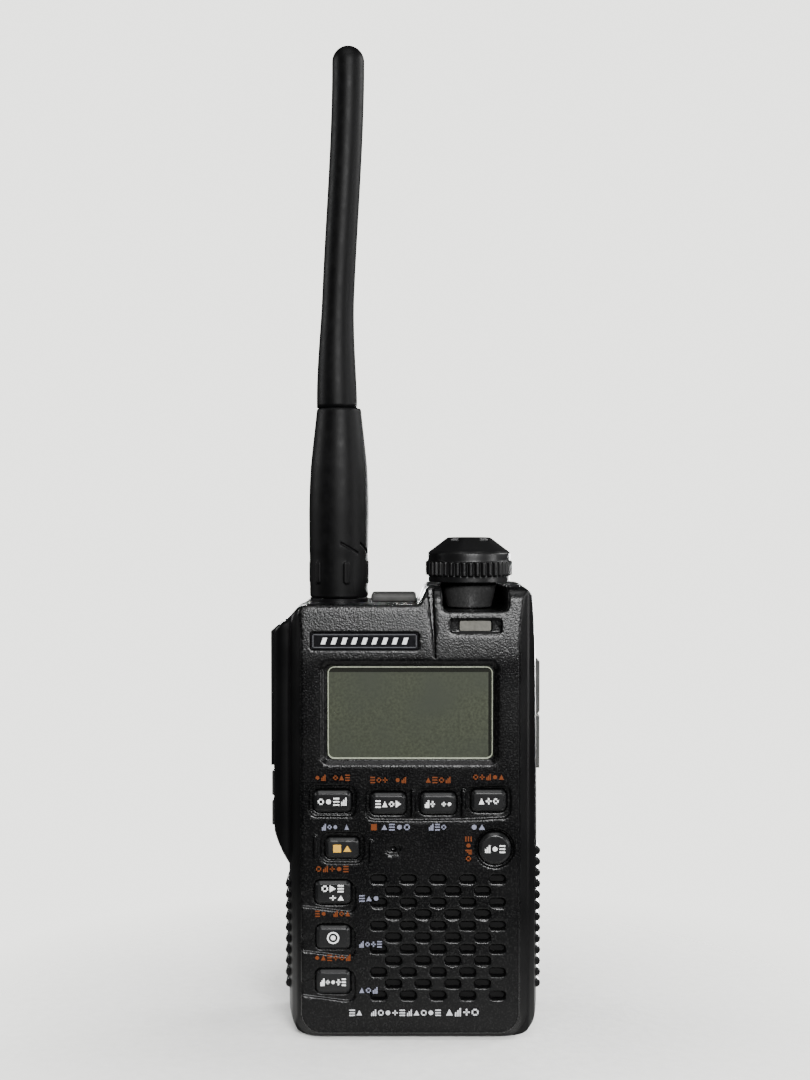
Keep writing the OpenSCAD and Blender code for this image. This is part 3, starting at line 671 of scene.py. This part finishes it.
def build_rear_case():
    """The rear shell with the battery bay and the screws' counterbores."""
    step = 0.16
    block = Block([-25.2, SEAM_BACK - 0.5, -0.5], [22.8, BACK_Y + 0.6, RIGHT_TOP + 0.6], step)
    block.join(body_field)
    add_grip_ribs(block, SEAM_BACK - 1, 7.5)
    cut_shared_openings(block, SEAM_BACK - 1, BACK_Y + 1)

    bay_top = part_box("battery_cover")[1].z / MM + 0.15

    def bay(x, y, z):
        opening = rect_field(x, z, [-BAY_HALF_W, BAY_HALF_W, BAY_LOW, bay_top], 0.4)
        return smooth_max(opening, BAY_FRONT_Y - y, 0.2)
    low = [-BAY_HALF_W - 1, BAY_FRONT_Y - 1.3, BAY_LOW - 1]
    block.cut(bay, 0.15, low, [BAY_HALF_W + 1, BACK_Y + 1, bay_top + 1.35])

    for cx, cz in SCREWS:
        def head(x, y, z):
            return np.maximum(disc_field(x, z, cx, cz, SCREW_HEAD_R), (BACK_Y - SCREW_HEAD_DEPTH) - y)
        block.cut(head, 0.15, [cx - 3, BACK_Y - 3.4, cz - 3], [cx + 3, BACK_Y + 1, cz + 3])

    block.keep(lambda x, y, z: SEAM_BACK - y, 0.12)
    case = block.mesh("rear_shell", 0.02)
    dress(case, SATIN, BACK_PAINTED_LIGHT)
    # Faces turned backwards get the back finish, painted paler to stand in for light on the back.
    paint(case.data, polygon_vectors(case.data, "normal")[:, 1] > 0.3)
    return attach(case, "body")


front_shell = build_front_case()
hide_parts("front_case")
rear_shell = build_rear_case()
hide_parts("rear_chassis")


# ---------------------------------------------------------------- keys, knob, antenna, cover

def build_key(name):
    """A key top with sloping edges on its hidden flange."""
    zone = KEY_ZONES[name]
    corner = 2.75 if name == "key_volume" else 0.95
    flange_y = span(name, "y")[1] - 0.5
    top = KEY_TOP_Y + 0.04
    low = [zone[0] - 0.7, KEY_TOP_Y - 0.3, zone[2] - 0.7]
    block = Block(low, [zone[1] + 0.7, flange_y + 0.8, zone[3] + 0.7], 0.06)

    def body(x, y, z):
        edge = rect_field(x, z, zone, corner)
        slope = (edge + 0.55 - (y - top) * 1.1) * 0.67
        crown = 0.05 * (((x - (zone[0] + zone[1]) / 2) / 3.2) ** 2)
        sides = np.maximum(edge, slab_field(y, top, flange_y + 0.1))
        return smooth_max(sides, np.maximum(slope, top + crown - y), 0.1)

    def flange(x, y, z):
        edge = rect_field(x, z, grown(zone, KEY_FLANGE - 0.02), corner + 0.4)
        return np.maximum(edge, slab_field(y, flange_y, flange_y + 0.48))
    block.join(body)
    block.join(flange)
    key = block.mesh(name + "_top", 0.01)
    dress(key, KEY)
    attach(key, name + "_body")
    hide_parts(name)


for name in KEYS:
    build_key(name)


def build_knob():
    """The dial knob: neck, band, knurled ring, upper band and a low cone with two notches."""
    lo, hi = (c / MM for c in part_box("dial_knob"))
    ring_r = (hi.x - lo.x) / 2 - 0.02
    band_r = ring_r - 0.5
    band_z = RIGHT_TOP + 0.3
    neck_z = 78.15
    profile = [(0, lo.z), (4.0, lo.z), (4.85, neck_z), (5.05, band_z + 0.02), (band_r, band_z + 0.02),
               (band_r, 79.9), (ring_r, 80.05), (ring_r, 82.35), (band_r + 0.1, 82.5), (band_r + 0.05, 83.9),
               (band_r - 0.35, 84.35), (6.6, 84.55), (3.97, hi.z), (0, hi.z)]
    block = Block([lo.x - 0.3, lo.y - 0.3, lo.z - 0.3], [hi.x + 0.3, hi.y + 0.3, hi.z + 0.3], 0.1)

    def turned(x, y, z):
        return polygon_field(np.hypot(x - DIAL_X, y), z, profile)

    def knurl(x, y, z):
        around = np.arctan2(y, x - DIAL_X)
        wave = 0.5 - 0.5 * np.cos(KNURLS * around)
        groove = np.hypot(x - DIAL_X, y) - (ring_r - 0.62 * wave ** 1.6)
        return np.where((z > 79.95) & (z < 82.45), groove, -FAR)

    def facets(x, y, z):
        around = np.arctan2(y, x - DIAL_X)
        sector = np.pi / 6
        turn = np.mod(around + sector / 2, sector) - sector / 2
        flat = np.hypot(x - DIAL_X, y) * np.cos(turn)
        return (flat - (7.38 - (z - 84.0) * 1.36)) * 0.6
    block.join(turned)
    block.keep(knurl, 0.1)
    block.keep(facets, 0.12)
    for side in (-1, 1):
        def notch(x, y, z):
            run = np.maximum(np.abs(x - DIAL_X - side * 2.6) - 0.75, y + 2.4)
            return np.maximum(run, 86.1 - z)
        block.cut(notch, 0.15)

    def bore(x, y, z):
        return np.maximum(disc_field(x, y, DIAL_X, 0, 3.25), z - 77.1)
    block.cut(bore, 0.05)
    knob = block.mesh("knob", 0.01)
    dress(knob, KNOB, NECK_PAINTED_SHEEN)
    # The neck below the band gets the paler grained finish: a painted sheen.
    paint(knob.data, polygon_vectors(knob.data, "center")[:, 2] / MM < neck_z + 0.05)
    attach(knob, "dial")
    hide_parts("dial_knob")


build_knob()


def build_boot():
    """The antenna's rubber boot: smooth, with six raised pads above its foot, thinned towards the whip."""
    lo, hi = (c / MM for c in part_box("antenna_boot"))
    outer = [(0, 0), (5.0, 0), (5.2, 0.28), (5.25, 2.0), (5.25, 7.0), (5.32, 8.5), (5.35, 15.5),
             (5.25, 19.3), (5.07, 22.9), (4.73, 26.3), (4.32, 29.9), (3.95, BOOT_LENGTH - 0.3),
             (3.78, BOOT_LENGTH), (0, BOOT_LENGTH)]
    outer = [(r, z + lo.z) for r, z in outer]
    block = Block([lo.x - 0.3, lo.y - 0.3, lo.z - 0.3], [hi.x + 0.3, hi.y + 0.3, hi.z + 0.3], 0.1)

    def turned(x, y, z):
        return polygon_field(np.hypot(x - ANT_X, y), z, outer)
    block.join(turned)

    def pads(x, y, z):
        front = np.arctan2(x - ANT_X, -y) - math.radians(17)
        turn = np.mod(front + np.pi / 6, np.pi / 3) - np.pi / 6
        plan = rect_field(5.3 * turn, z, [-0.55, 0.55, lo.z + 2.5, lo.z + 6.5], 0.53)
        return smooth_max(plan, np.hypot(x - ANT_X, y) - 5.47, 0.2)
    block.join(pads, 0.05)

    # two slanted nicks to the right of the front
    for u0, u1 in ((0.55, 3.9), (4.3, 7.0)):
        def nick(x, y, z):
            u = 5.3 * np.arctan2(x - ANT_X, -y)
            slope = (u - u0) / (u1 - u0)
            line = z - (lo.z + 9.7 - 1.8 * slope)
            shallow = 5.1 - np.hypot(x - ANT_X, y)
            return np.maximum(np.maximum(np.abs(line) * 0.8 - 0.17, np.abs(slope - 0.5) * 2 - 1), shallow)
        block.cut(nick, 0.08)

    def bore(x, y, z):
        wide = np.maximum(disc_field(x, y, ANT_X, 0, 4.3), z - (lo.z + 11.1))
        return np.minimum(wide, disc_field(x, y, ANT_X, 0, ANT_HOLE_R))
    block.cut(bore, 0.05)
    boot = block.mesh("boot", 0.01)
    dress(boot, ANTENNA)
    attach(boot, "antenna")
    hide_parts("antenna_boot")


build_boot()


def ease(t):
    """A soft step from 0 to 1."""
    t = min(1.0, max(0.0, t))
    return t * t * (3 - 2 * t)


def whip_x(z):
    """Sideways place of the whip's middle: a little left, then right."""
    return ANT_X - 0.4 * ease((z - 90) / 27) + 2.1 * ease((z - 117) / 54)


def build_whip():
    """The flexible whip, wider at its root and ended by a round tip."""
    top = span("antenna_whip", "z")[1]
    r_tip = 2.88
    root = FOOT_Z + BOOT_LENGTH + 0.1
    places = [(FOOT_Z + 11.4, 3.1), (root - 0.05, 3.1)]
    steps = 90
    for i in range(steps + 1):
        z = root + (top - r_tip - root) * i / steps
        places.append((z, r_tip - 0.02 + 0.75 * (1 - ease((z - root + 0.1) / 20))))
    for i in range(1, 13):
        a = math.pi / 2 * i / 12.5
        places.append((top - r_tip + r_tip * math.sin(a) - 0.02, (r_tip - 0.02) * math.cos(a)))
    sides = 64
    points, quads = [], []
    for z, r in places:
        cx = whip_x(z)
        for k in range(sides):
            a = 2 * math.pi * k / sides
            points.append((cx + r * math.cos(a), r * math.sin(a), z))
    for j in range(len(places) - 1):
        for k in range(sides):
            m = (k + 1) % sides
            quads.append((j * sides + k, j * sides + m, (j + 1) * sides + m, (j + 1) * sides + k))
    first, last = len(points), len(points) + 1
    end = points[-1]
    points.append((ANT_X, 0, places[0][0]))
    points.append((end[0] - places[-1][1] * math.cos(2 * math.pi * (sides - 1) / sides), 0, end[2] + 0.01))
    base = (len(places) - 1) * sides
    tris = [(first, (k + 1) % sides, k) for k in range(sides)]
    tris += [(last, base + k, base + (k + 1) % sides) for k in range(sides)]
    whip = mesh_object("whip", np.array(points) * MM, [np.array(tris), np.array(quads)])
    dress(whip, ANTENNA)
    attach(whip, "antenna")
    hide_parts("antenna_whip")


build_whip()


def build_audio_cap():
    """The rubber cover on top, with a round front lip and a shallow thumb groove."""
    lo, hi = (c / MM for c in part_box("audio_cap"))
    block = Block([lo.x - 0.3, lo.y - 0.3, lo.z - 0.3], [hi.x + 0.3, hi.y + 0.3, hi.z + 0.3], 0.08)

    def slab(x, y, z):
        plan = rect_field(x, y, [lo.x, hi.x, lo.y, hi.y], 0.7)
        return smooth_max(plan, slab_field(z, lo.z, hi.z), 0.55)
    block.join(slab)

    def thumb(x, y, z):
        return np.hypot(z - hi.z - 0.75, y - lo.y - 2.2) - 1.0
    block.cut(thumb, 0.2)
    cap = block.mesh("audio_cover_top", 0.01)
    dress(cap, CAP_RUBBER)
    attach(cap, "audio_cover")
    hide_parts("audio_cap")


build_audio_cap()


# ---------------------------------------------------------------- plain printed marks

def bar(u, v, w, h, lean=0.0):
    """An upright bar centred at u, v, leaning by a share of its height."""
    k = lean * h / 2
    return [(u - w / 2 - k, v - h / 2), (u + w / 2 - k, v - h / 2),
            (u + w / 2 + k, v + h / 2), (u - w / 2 + k, v + h / 2)]


def ring(u, v, r, t):
    """Quads around a circle."""
    n = 16
    pieces = []
    for i in range(n):
        a, b = 2 * math.pi * i / n, 2 * math.pi * (i + 1) / n
        pieces.append([(u + r * math.cos(a), v + r * math.sin(a)),
                       (u + r * math.cos(b), v + r * math.sin(b)),
                       (u + (r - t) * math.cos(b), v + (r - t) * math.sin(b)),
                       (u + (r - t) * math.cos(a), v + (r - t) * math.sin(a))])
    return pieces


def fan(u, v, r):
    """A filled circle."""
    return [(u + r * math.cos(a), v + r * math.sin(a)) for a in np.arange(0, 6.28, 0.5)]


def sign(kind, u, v, w, h, t):
    """Polygons of one plain sign inside a cell w by h, drawn with strokes t wide."""
    if kind == "outline":
        return [bar(u, v + h / 2 - t / 2, w, t), bar(u, v - h / 2 + t / 2, w, t),
                bar(u - w / 2 + t / 2, v, t, h), bar(u + w / 2 - t / 2, v, t, h)]
    if kind == "frame":
        return sign("outline", u, v, w, min(h, w), t)
    if kind == "ring":
        return ring(u, v, min(w, h) / 2, t)
    if kind == "disc":
        return [fan(u, v, w * 0.42)]
    if kind == "steps":
        return [bar(u - w / 3, v - h / 4, t, h / 2), bar(u, v - h / 8, t, h * 0.75), bar(u + w / 3, v, t, h)]
    if kind == "levels":
        return [bar(u, v + k * (h - t) / 2, w, t) for k in (-1, 0, 1)]
    if kind == "peak":
        return [[(u - w / 2, v - h * 0.4), (u + w / 2, v - h * 0.4), (u, v + h * 0.4)]]
    if kind == "arrow":
        return [[(u - w / 2, v - h / 2), (u + w / 2, v), (u - w / 2, v + h / 2)]]
    if kind == "cross":
        return [bar(u, v, w, t), bar(u, v, t, h * 0.8)]
    if kind == "dot":
        return [fan(u, v, w * 0.3)]
    if kind == "block":
        return [bar(u, v, w, h)]
    return []


MARK_COUNT = 0


def mark(kinds, centre, size, finish, body="body", y=None, upright=False):
    """A row of plain signs centred at (x, z), size (length, height), on the face or on a key."""
    global MARK_COUNT
    MARK_COUNT += 1
    length, height = size
    pitch = length / (len(kinds) - 0.22)
    cell = pitch * 0.78
    stroke = min(height * 0.2, 0.26)
    shapes = []
    for i, kind in enumerate(kinds):
        shapes += sign(kind, (i - (len(kinds) - 1) / 2) * pitch, 0, cell, height, stroke)
    return flat_mark(f"mark_{MARK_COUNT:02d}", shapes, centre, finish, body, y, upright)


def flat_mark(name, shapes, centre, finish, body="body", y=None, upright=False):
    """Thin flat polygons on a surface that faces the front: ink marks, the display panel and corners, and
    the display window's painted shade and painted highlight.
    """
    cx, cz = centre
    points, faces = [], []
    for shape in shapes:
        start = len(points)
        for u, v in shape:
            du, dv = (-v, u) if upright else (u, v)
            depth = (face_y(cz + dv) - 0.025) if y is None else y
            points.append((cx + du, depth, cz + dv))
        faces.append(list(range(start, start + len(shape))))
    mesh = bpy.data.meshes.new(name)
    mesh.from_pydata([tuple(c * MM for c in p) for p in points], [], faces)
    obj = bpy.data.objects.new(name, mesh)
    bpy.context.scene.collection.objects.link(obj)
    dress(obj, finish)
    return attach(obj, body)


def middle(name):
    """Centre of a key, seen from the front."""
    zone = KEY_ZONES[name]
    return [(zone[0] + zone[1]) / 2, (zone[2] + zone[3]) / 2]


def key_mark(name, kinds, size, finish, shift=(0, 0)):
    """A row of plain signs on a key top."""
    cx, cz = middle(name)
    mark(kinds, (cx + shift[0], cz + shift[1]), size, finish, name + "_body", KEY_TOP_Y + 0.015)


key_mark("key_mode", ["frame", "disc", "levels", "steps"], (5.0, 1.35), WHITE)
key_mark("key_band", ["levels", "peak", "frame", "arrow"], (4.4, 1.3), WHITE)
key_mark("key_level", ["steps", "cross", "", "frame", "disc"], (4.6, 1.3), WHITE)
key_mark("key_memory", ["peak", "cross", "frame"], (3.4, 1.35), WHITE)
key_mark("key_function", ["block", "peak"], (3.1, 1.35), YELLOW)
key_mark("key_volume", ["steps", "disc", "levels"], (3.5, 1.35), WHITE)
key_mark("key_home", ["frame", "arrow", "levels"], (3.8, 1.25), WHITE, (0, 0.75))
key_mark("key_home", ["cross", "peak"], (2.4, 1.05), WHITE, (0.7, -0.85))
key_mark("key_link", ["ring"], (2.4, 2.1), WHITE)
key_mark("key_link", ["dot"], (1.4, 1.2), WHITE)
key_mark("key_tuner", ["steps", "frame", "disc", "cross", "levels"], (4.4, 1.3), WHITE)

for name, kinds, length in (("key_mode", ["disc", "steps", "", "frame", "peak", "levels"], 6.0),
                            ("key_band", ["levels", "frame", "cross", "", "disc", "steps"], 6.2),
                            ("key_level", ["peak", "levels", "frame", "steps"], 4.3),
                            ("key_memory", ["frame", "cross", "steps", "disc", "peak"], 5.3)):
    above = KEY_ZONES[name][3] + 2.2
    mark(kinds, (middle(name)[0], above), (length, 1.1), ORANGE)

for x, kinds, length in ((-13.4, ["steps", "frame", "disc", "", "peak"], 4.7),
                         (-3.0, ["peak", "levels", "disc", "frame"], 4.9),
                         (4.2, ["steps", "levels", "frame"], 3.0),
                         (11.2, ["disc", "peak"], 2.4)):
    mark(kinds, (x, 36.95), (length, 1.15), LAVENDER)
mark(["block"], (-6.75, 36.95), (1.0, 1.1), ORANGE)

for name, kinds, length in (("key_home", ["frame", "steps", "cross", "disc", "levels"], 5.6),
                            ("key_link", ["levels", "disc", "", "steps", "frame", "peak"], 6.0),
                            ("key_tuner", ["disc", "peak", "levels", "cross", "frame", "steps"], 6.2)):
    zone = KEY_ZONES[name]
    mark(kinds, (middle(name)[0] - 0.1, zone[3] + 2.0), (length, 1.1), ORANGE)
for z, kinds, length in ((24.6, ["levels", "peak", "disc"], 3.4),
                         (16.65, ["steps", "frame", "cross", "levels"], 3.9),
                         (8.65, ["peak", "frame", "steps"], 3.2)):
    mark(kinds, (-7.6 + length / 2 - 1.7, z), (length, 1.15), LAVENDER)
mark(["frame", "steps", "disc", "levels"], (9.55, 33.2), (4.3, 1.15), ORANGE, upright=True)
mark(["levels", "peak", "", "steps", "frame", "disc", "cross", "levels", "steps", "peak", "frame", "disc",
      "levels"], (-3.1, 4.75), (15.8, 1.1), SILVER)
mark(["peak", "steps", "cross", "frame"], (8.5, 4.85), (5.6, 1.45), SILVER)


def build_name_plate():
    """A blank dark badge: a thin dim outline and a row of slanted bars in place of a name."""
    left, right, low, high = grown(zone_of("name_plate"), -0.02)
    y = span("name_plate", "y")[0] - 0.02
    cx, cz = (left + right) / 2, (low + high) / 2
    w, h, t = right - left - 0.5, high - low - 0.4, 0.16
    flat_mark("plate_line", sign("outline", 0, 0, w, h, t), (cx, cz), PLATE_LINE, "body", y)
    bars = [bar(-7.0 + i * 1.75, 0, 0.75, 1.15, 0.35) for i in range(9)]
    flat_mark("plate_bars", bars, (cx, cz), WHITE, "body", y)


build_name_plate()


def rounded(zone, r):
    """Corner-rounded outline of a zone, anticlockwise."""
    left, right, low, high = zone
    return (arc(right - r, low + r, r, -90, 0) + arc(right - r, high - r, r, 0, 90)
            + arc(left + r, high - r, r, 90, 180) + arc(left + r, low + r, r, 180, 270))


def build_display_with_painted_light():
    """The panel bonded behind the window, painted shade for the window's upper and right walls, a painted
    highlight along the window's edge, and its round corners.
    """
    left, right, low, high = LCD
    y = span("lcd_window", "y")[0] + 0.06
    corner_r = 1.1
    overlap = 0.1               # how far the sheets reach past the window's edge
    shade_w, shade_h = 0.7, 0.95
    # Painted highlight: a pale ring where the window's bevelled edge catches the light, widest along the
    # bottom.
    outer = rounded(LCD, corner_r)
    inner = rounded([left + 0.15, right - 0.12, low + 0.26, high - 0.16], 0.95)
    n = len(outer)
    edge_highlight = [[outer[i], outer[(i + 1) % n], inner[(i + 1) % n], inner[i]] for i in range(n)]
    # Painted shade: dark sheets along the top and right of the panel, where the window's walls shade it.
    shade_z = high - shade_h
    top_wall_shade = [(left + 0.12, shade_z), (right - 0.1, shade_z),
                (right - 0.1, high - 0.1), (left + 0.12, high - 0.1)]
    right_wall_shade = [(right - shade_w, low + 0.25), (right - 0.1, low + 0.25),
                  (right - 0.1, shade_z), (right - shade_w, shade_z)]
    flat_mark("display_face", [rounded(grown(LCD, overlap), 0.6)], (0, 0), LCD_PANEL, "body", y + 0.06)
    flat_mark("display_wall_shade", [top_wall_shade, right_wall_shade], (0, 0), LCD_SHADE, "body", y)
    flat_mark("display_edge_highlight", edge_highlight, (0, 0), LCD_EDGE_HIGHLIGHT, "body", y - 0.01)
    corners = []
    for x, z, start in ((right, low, -90), (right, high, 0), (left, high, 90), (left, low, 180)):
        side_x = 1 if x == right else -1
        side_z = 1 if z == high else -1
        cx, cz = x - side_x * corner_r, z - side_z * corner_r
        tip = (x + side_x * overlap, z + side_z * overlap)
        corners.append([tip] + arc(cx, cz, corner_r, start, start + 90)[::-1])
    flat_mark("display_corners", corners, (0, 0), SATIN, "body", y - 0.02)


build_display_with_painted_light()


# ---------------------------------------------------------------- finishes of the carried-over parts

NODE_FINISH = {
    "case_gasket": SEAL, "case_screws": STEEL, "name_plate": PLATE_DARK, "lcd_window": CLEAR,
    "lcd_module": LCD_PANEL, "lcd_light_guide": PALE, "keypad_mat": SEAL, "dome_sheet": GOLD,
    "control_board": BOARD, "main_board": BOARD, "rf_shield": STEEL, "board_connector": PALE,
    "speaker": DARK_PART, "speaker_net": NET, "microphone": STEEL, "mic_holder": SEAL,
    "indicator_lens": LENS_SMOKE, "indicator_led": PALE, "encoder_body": DARK_PART, "encoder_shaft": STEEL,
    "sma_connector": GOLD, "antenna_collar": SATIN, "antenna_seal": SEAL, "antenna_plug": GOLD,
    "audio_jack": DARK_PART, "dc_jack": DARK_PART, "dc_cap": CAP_RUBBER, "dc_cap_anchor": CAP_RUBBER,
    "ptt_button": SATIN, "monitor_button": CAP_RUBBER, "power_button": CAP_RUBBER,
    "side_switches": STEEL, "side_board": BOARD, "battery_pack": BATTERY, "battery_contacts": GOLD,
    "battery_cover": BACK_PAINTED_LIGHT, "battery_latch": BACK_PAINTED_LIGHT,
}
for name, finish in NODE_FINISH.items():
    dress(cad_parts[name], finish)


def soften(node, width_mm):
    """Rounds the sharp edges of a carried-over part."""
    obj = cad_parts[node]
    weld = obj.modifiers.new("weld", "WELD")
    weld.merge_threshold = 1e-6
    bevel = obj.modifiers.new("bevel", "BEVEL")
    bevel.width = width_mm * MM
    bevel.segments = 3
    bevel.limit_method = "ANGLE"
    bevel.angle_limit = math.radians(38)
    bevel.harden_normals = True


for name, width in (("ptt_button", 0.35), ("monitor_button", 0.3), ("power_button", 0.3), ("dc_cap", 0.2),
                    ("dc_cap_anchor", 0.25), ("battery_cover", 0.15), ("battery_latch", 0.1)):
    soften(name, width)


# ---------------------------------------------------------------- floor, light and camera

BACKDROP = (2.7, 2.7, 2.58)


def build_stage():
    """Pale floor around the base that fades into the pale surroundings."""
    bpy.ops.mesh.primitive_circle_add(vertices=96, radius=0.5, fill_type="NGON", location=(0, 0, -0.0002))
    floor = bpy.context.object
    floor.name = "floor"
    m = Nodes("floor_pale")
    texture = m.noise(2.2, 6.0, 0.6)
    m.link(m.mix(m.ramp(texture, 0.3, 0.7), (0.70, 0.70, 0.68), (0.78, 0.78, 0.76)), "Base Color")
    m.link(m.ramp(texture, 0.3, 0.7, 0.55, 0.7), "Roughness")
    m.shader.inputs["Specular IOR Level"].default_value = 0.2
    m.bump(texture, 0.1)
    reach = m.add("ShaderNodeVectorMath", {0: m.coords}, operation="LENGTH").outputs["Value"]
    clear = m.add("ShaderNodeBsdfTransparent")
    fade = m.add("ShaderNodeMixShader", {"Fac": m.ramp(reach, 0.035, 0.1)})
    m.tree.links.new(m.shader.outputs[0], fade.inputs[1])
    m.tree.links.new(clear.outputs[0], fade.inputs[2])
    m.tree.links.new(fade.outputs[0], m.tree.nodes["Material Output"].inputs["Surface"])
    dress(floor, m.material)


def area_light(name, place, target, size, power):
    light = bpy.data.lights.new(name, "AREA")
    light.shape = "RECTANGLE"
    light.size, light.size_y = size
    light.energy = power
    obj = bpy.data.objects.new(name, light)
    bpy.context.scene.collection.objects.link(obj)
    obj.visible_camera = False
    obj.location = place
    obj.rotation_euler = (Vector(target) - Vector(place)).to_track_quat("-Z", "Y").to_euler()


def build_light():
    """A pale backdrop, dimmer light from all round, and six soft lights around the object."""
    world = bpy.data.worlds.new("pale_room")
    world.use_nodes = True
    tree = world.node_tree
    seen = tree.nodes["Background"]
    seen.inputs["Color"].default_value = (*BACKDROP, 1)
    seen.inputs["Strength"].default_value = 1.0
    around = tree.nodes.new("ShaderNodeBackground")
    around.inputs["Color"].default_value = (0.70, 0.71, 0.72, 1)
    around.inputs["Strength"].default_value = 0.1
    path = tree.nodes.new("ShaderNodeLightPath")
    either = tree.nodes.new("ShaderNodeMixShader")
    tree.links.new(path.outputs["Is Camera Ray"], either.inputs["Fac"])
    tree.links.new(around.outputs[0], either.inputs[1])
    tree.links.new(seen.outputs[0], either.inputs[2])
    tree.links.new(either.outputs[0], tree.nodes["World Output"].inputs["Surface"])
    bpy.context.scene.world = world
    area_light("key_front", (0.15, -0.85, 0.36), (0, 0, 0.06), (0.34, 0.12), 23.0)
    area_light("top_soft", (0.0, -0.25, 0.72), (0, 0, 0.06), (0.5, 0.3), 3.5)
    area_light("right_soft", (0.6, -0.25, 0.15), (0, 0, 0.06), (0.15, 0.3), 3.5)
    area_light("right_high", (0.7, 0.25, 0.4), (0, 0, 0.06), (0.4, 0.3), 7.0)
    area_light("back_low", (0.12, 0.75, 0.03), (0, 0, 0.05), (0.6, 0.1), 10.0)
    area_light("left_soft", (-0.7, 0.1, 0.3), (0, 0, 0.05), (0.3, 0.3), 4.0)


def build_camera():
    """A camera held about 290 mm in front, level with the top of the body and tipped slightly down."""
    cam = bpy.data.cameras.new("camera")
    cam.sensor_width = 36
    cam.lens = 53.65
    cam.clip_start, cam.clip_end = 0.01, 20
    obj = bpy.data.objects.new("camera", cam)
    bpy.context.scene.collection.objects.link(obj)
    obj.location = (-1.39 * MM, -287.6 * MM, 92.7 * MM)
    obj.rotation_euler = (math.radians(88.7), 0, 0)
    bpy.context.scene.camera = obj


build_stage()
build_light()
build_camera()
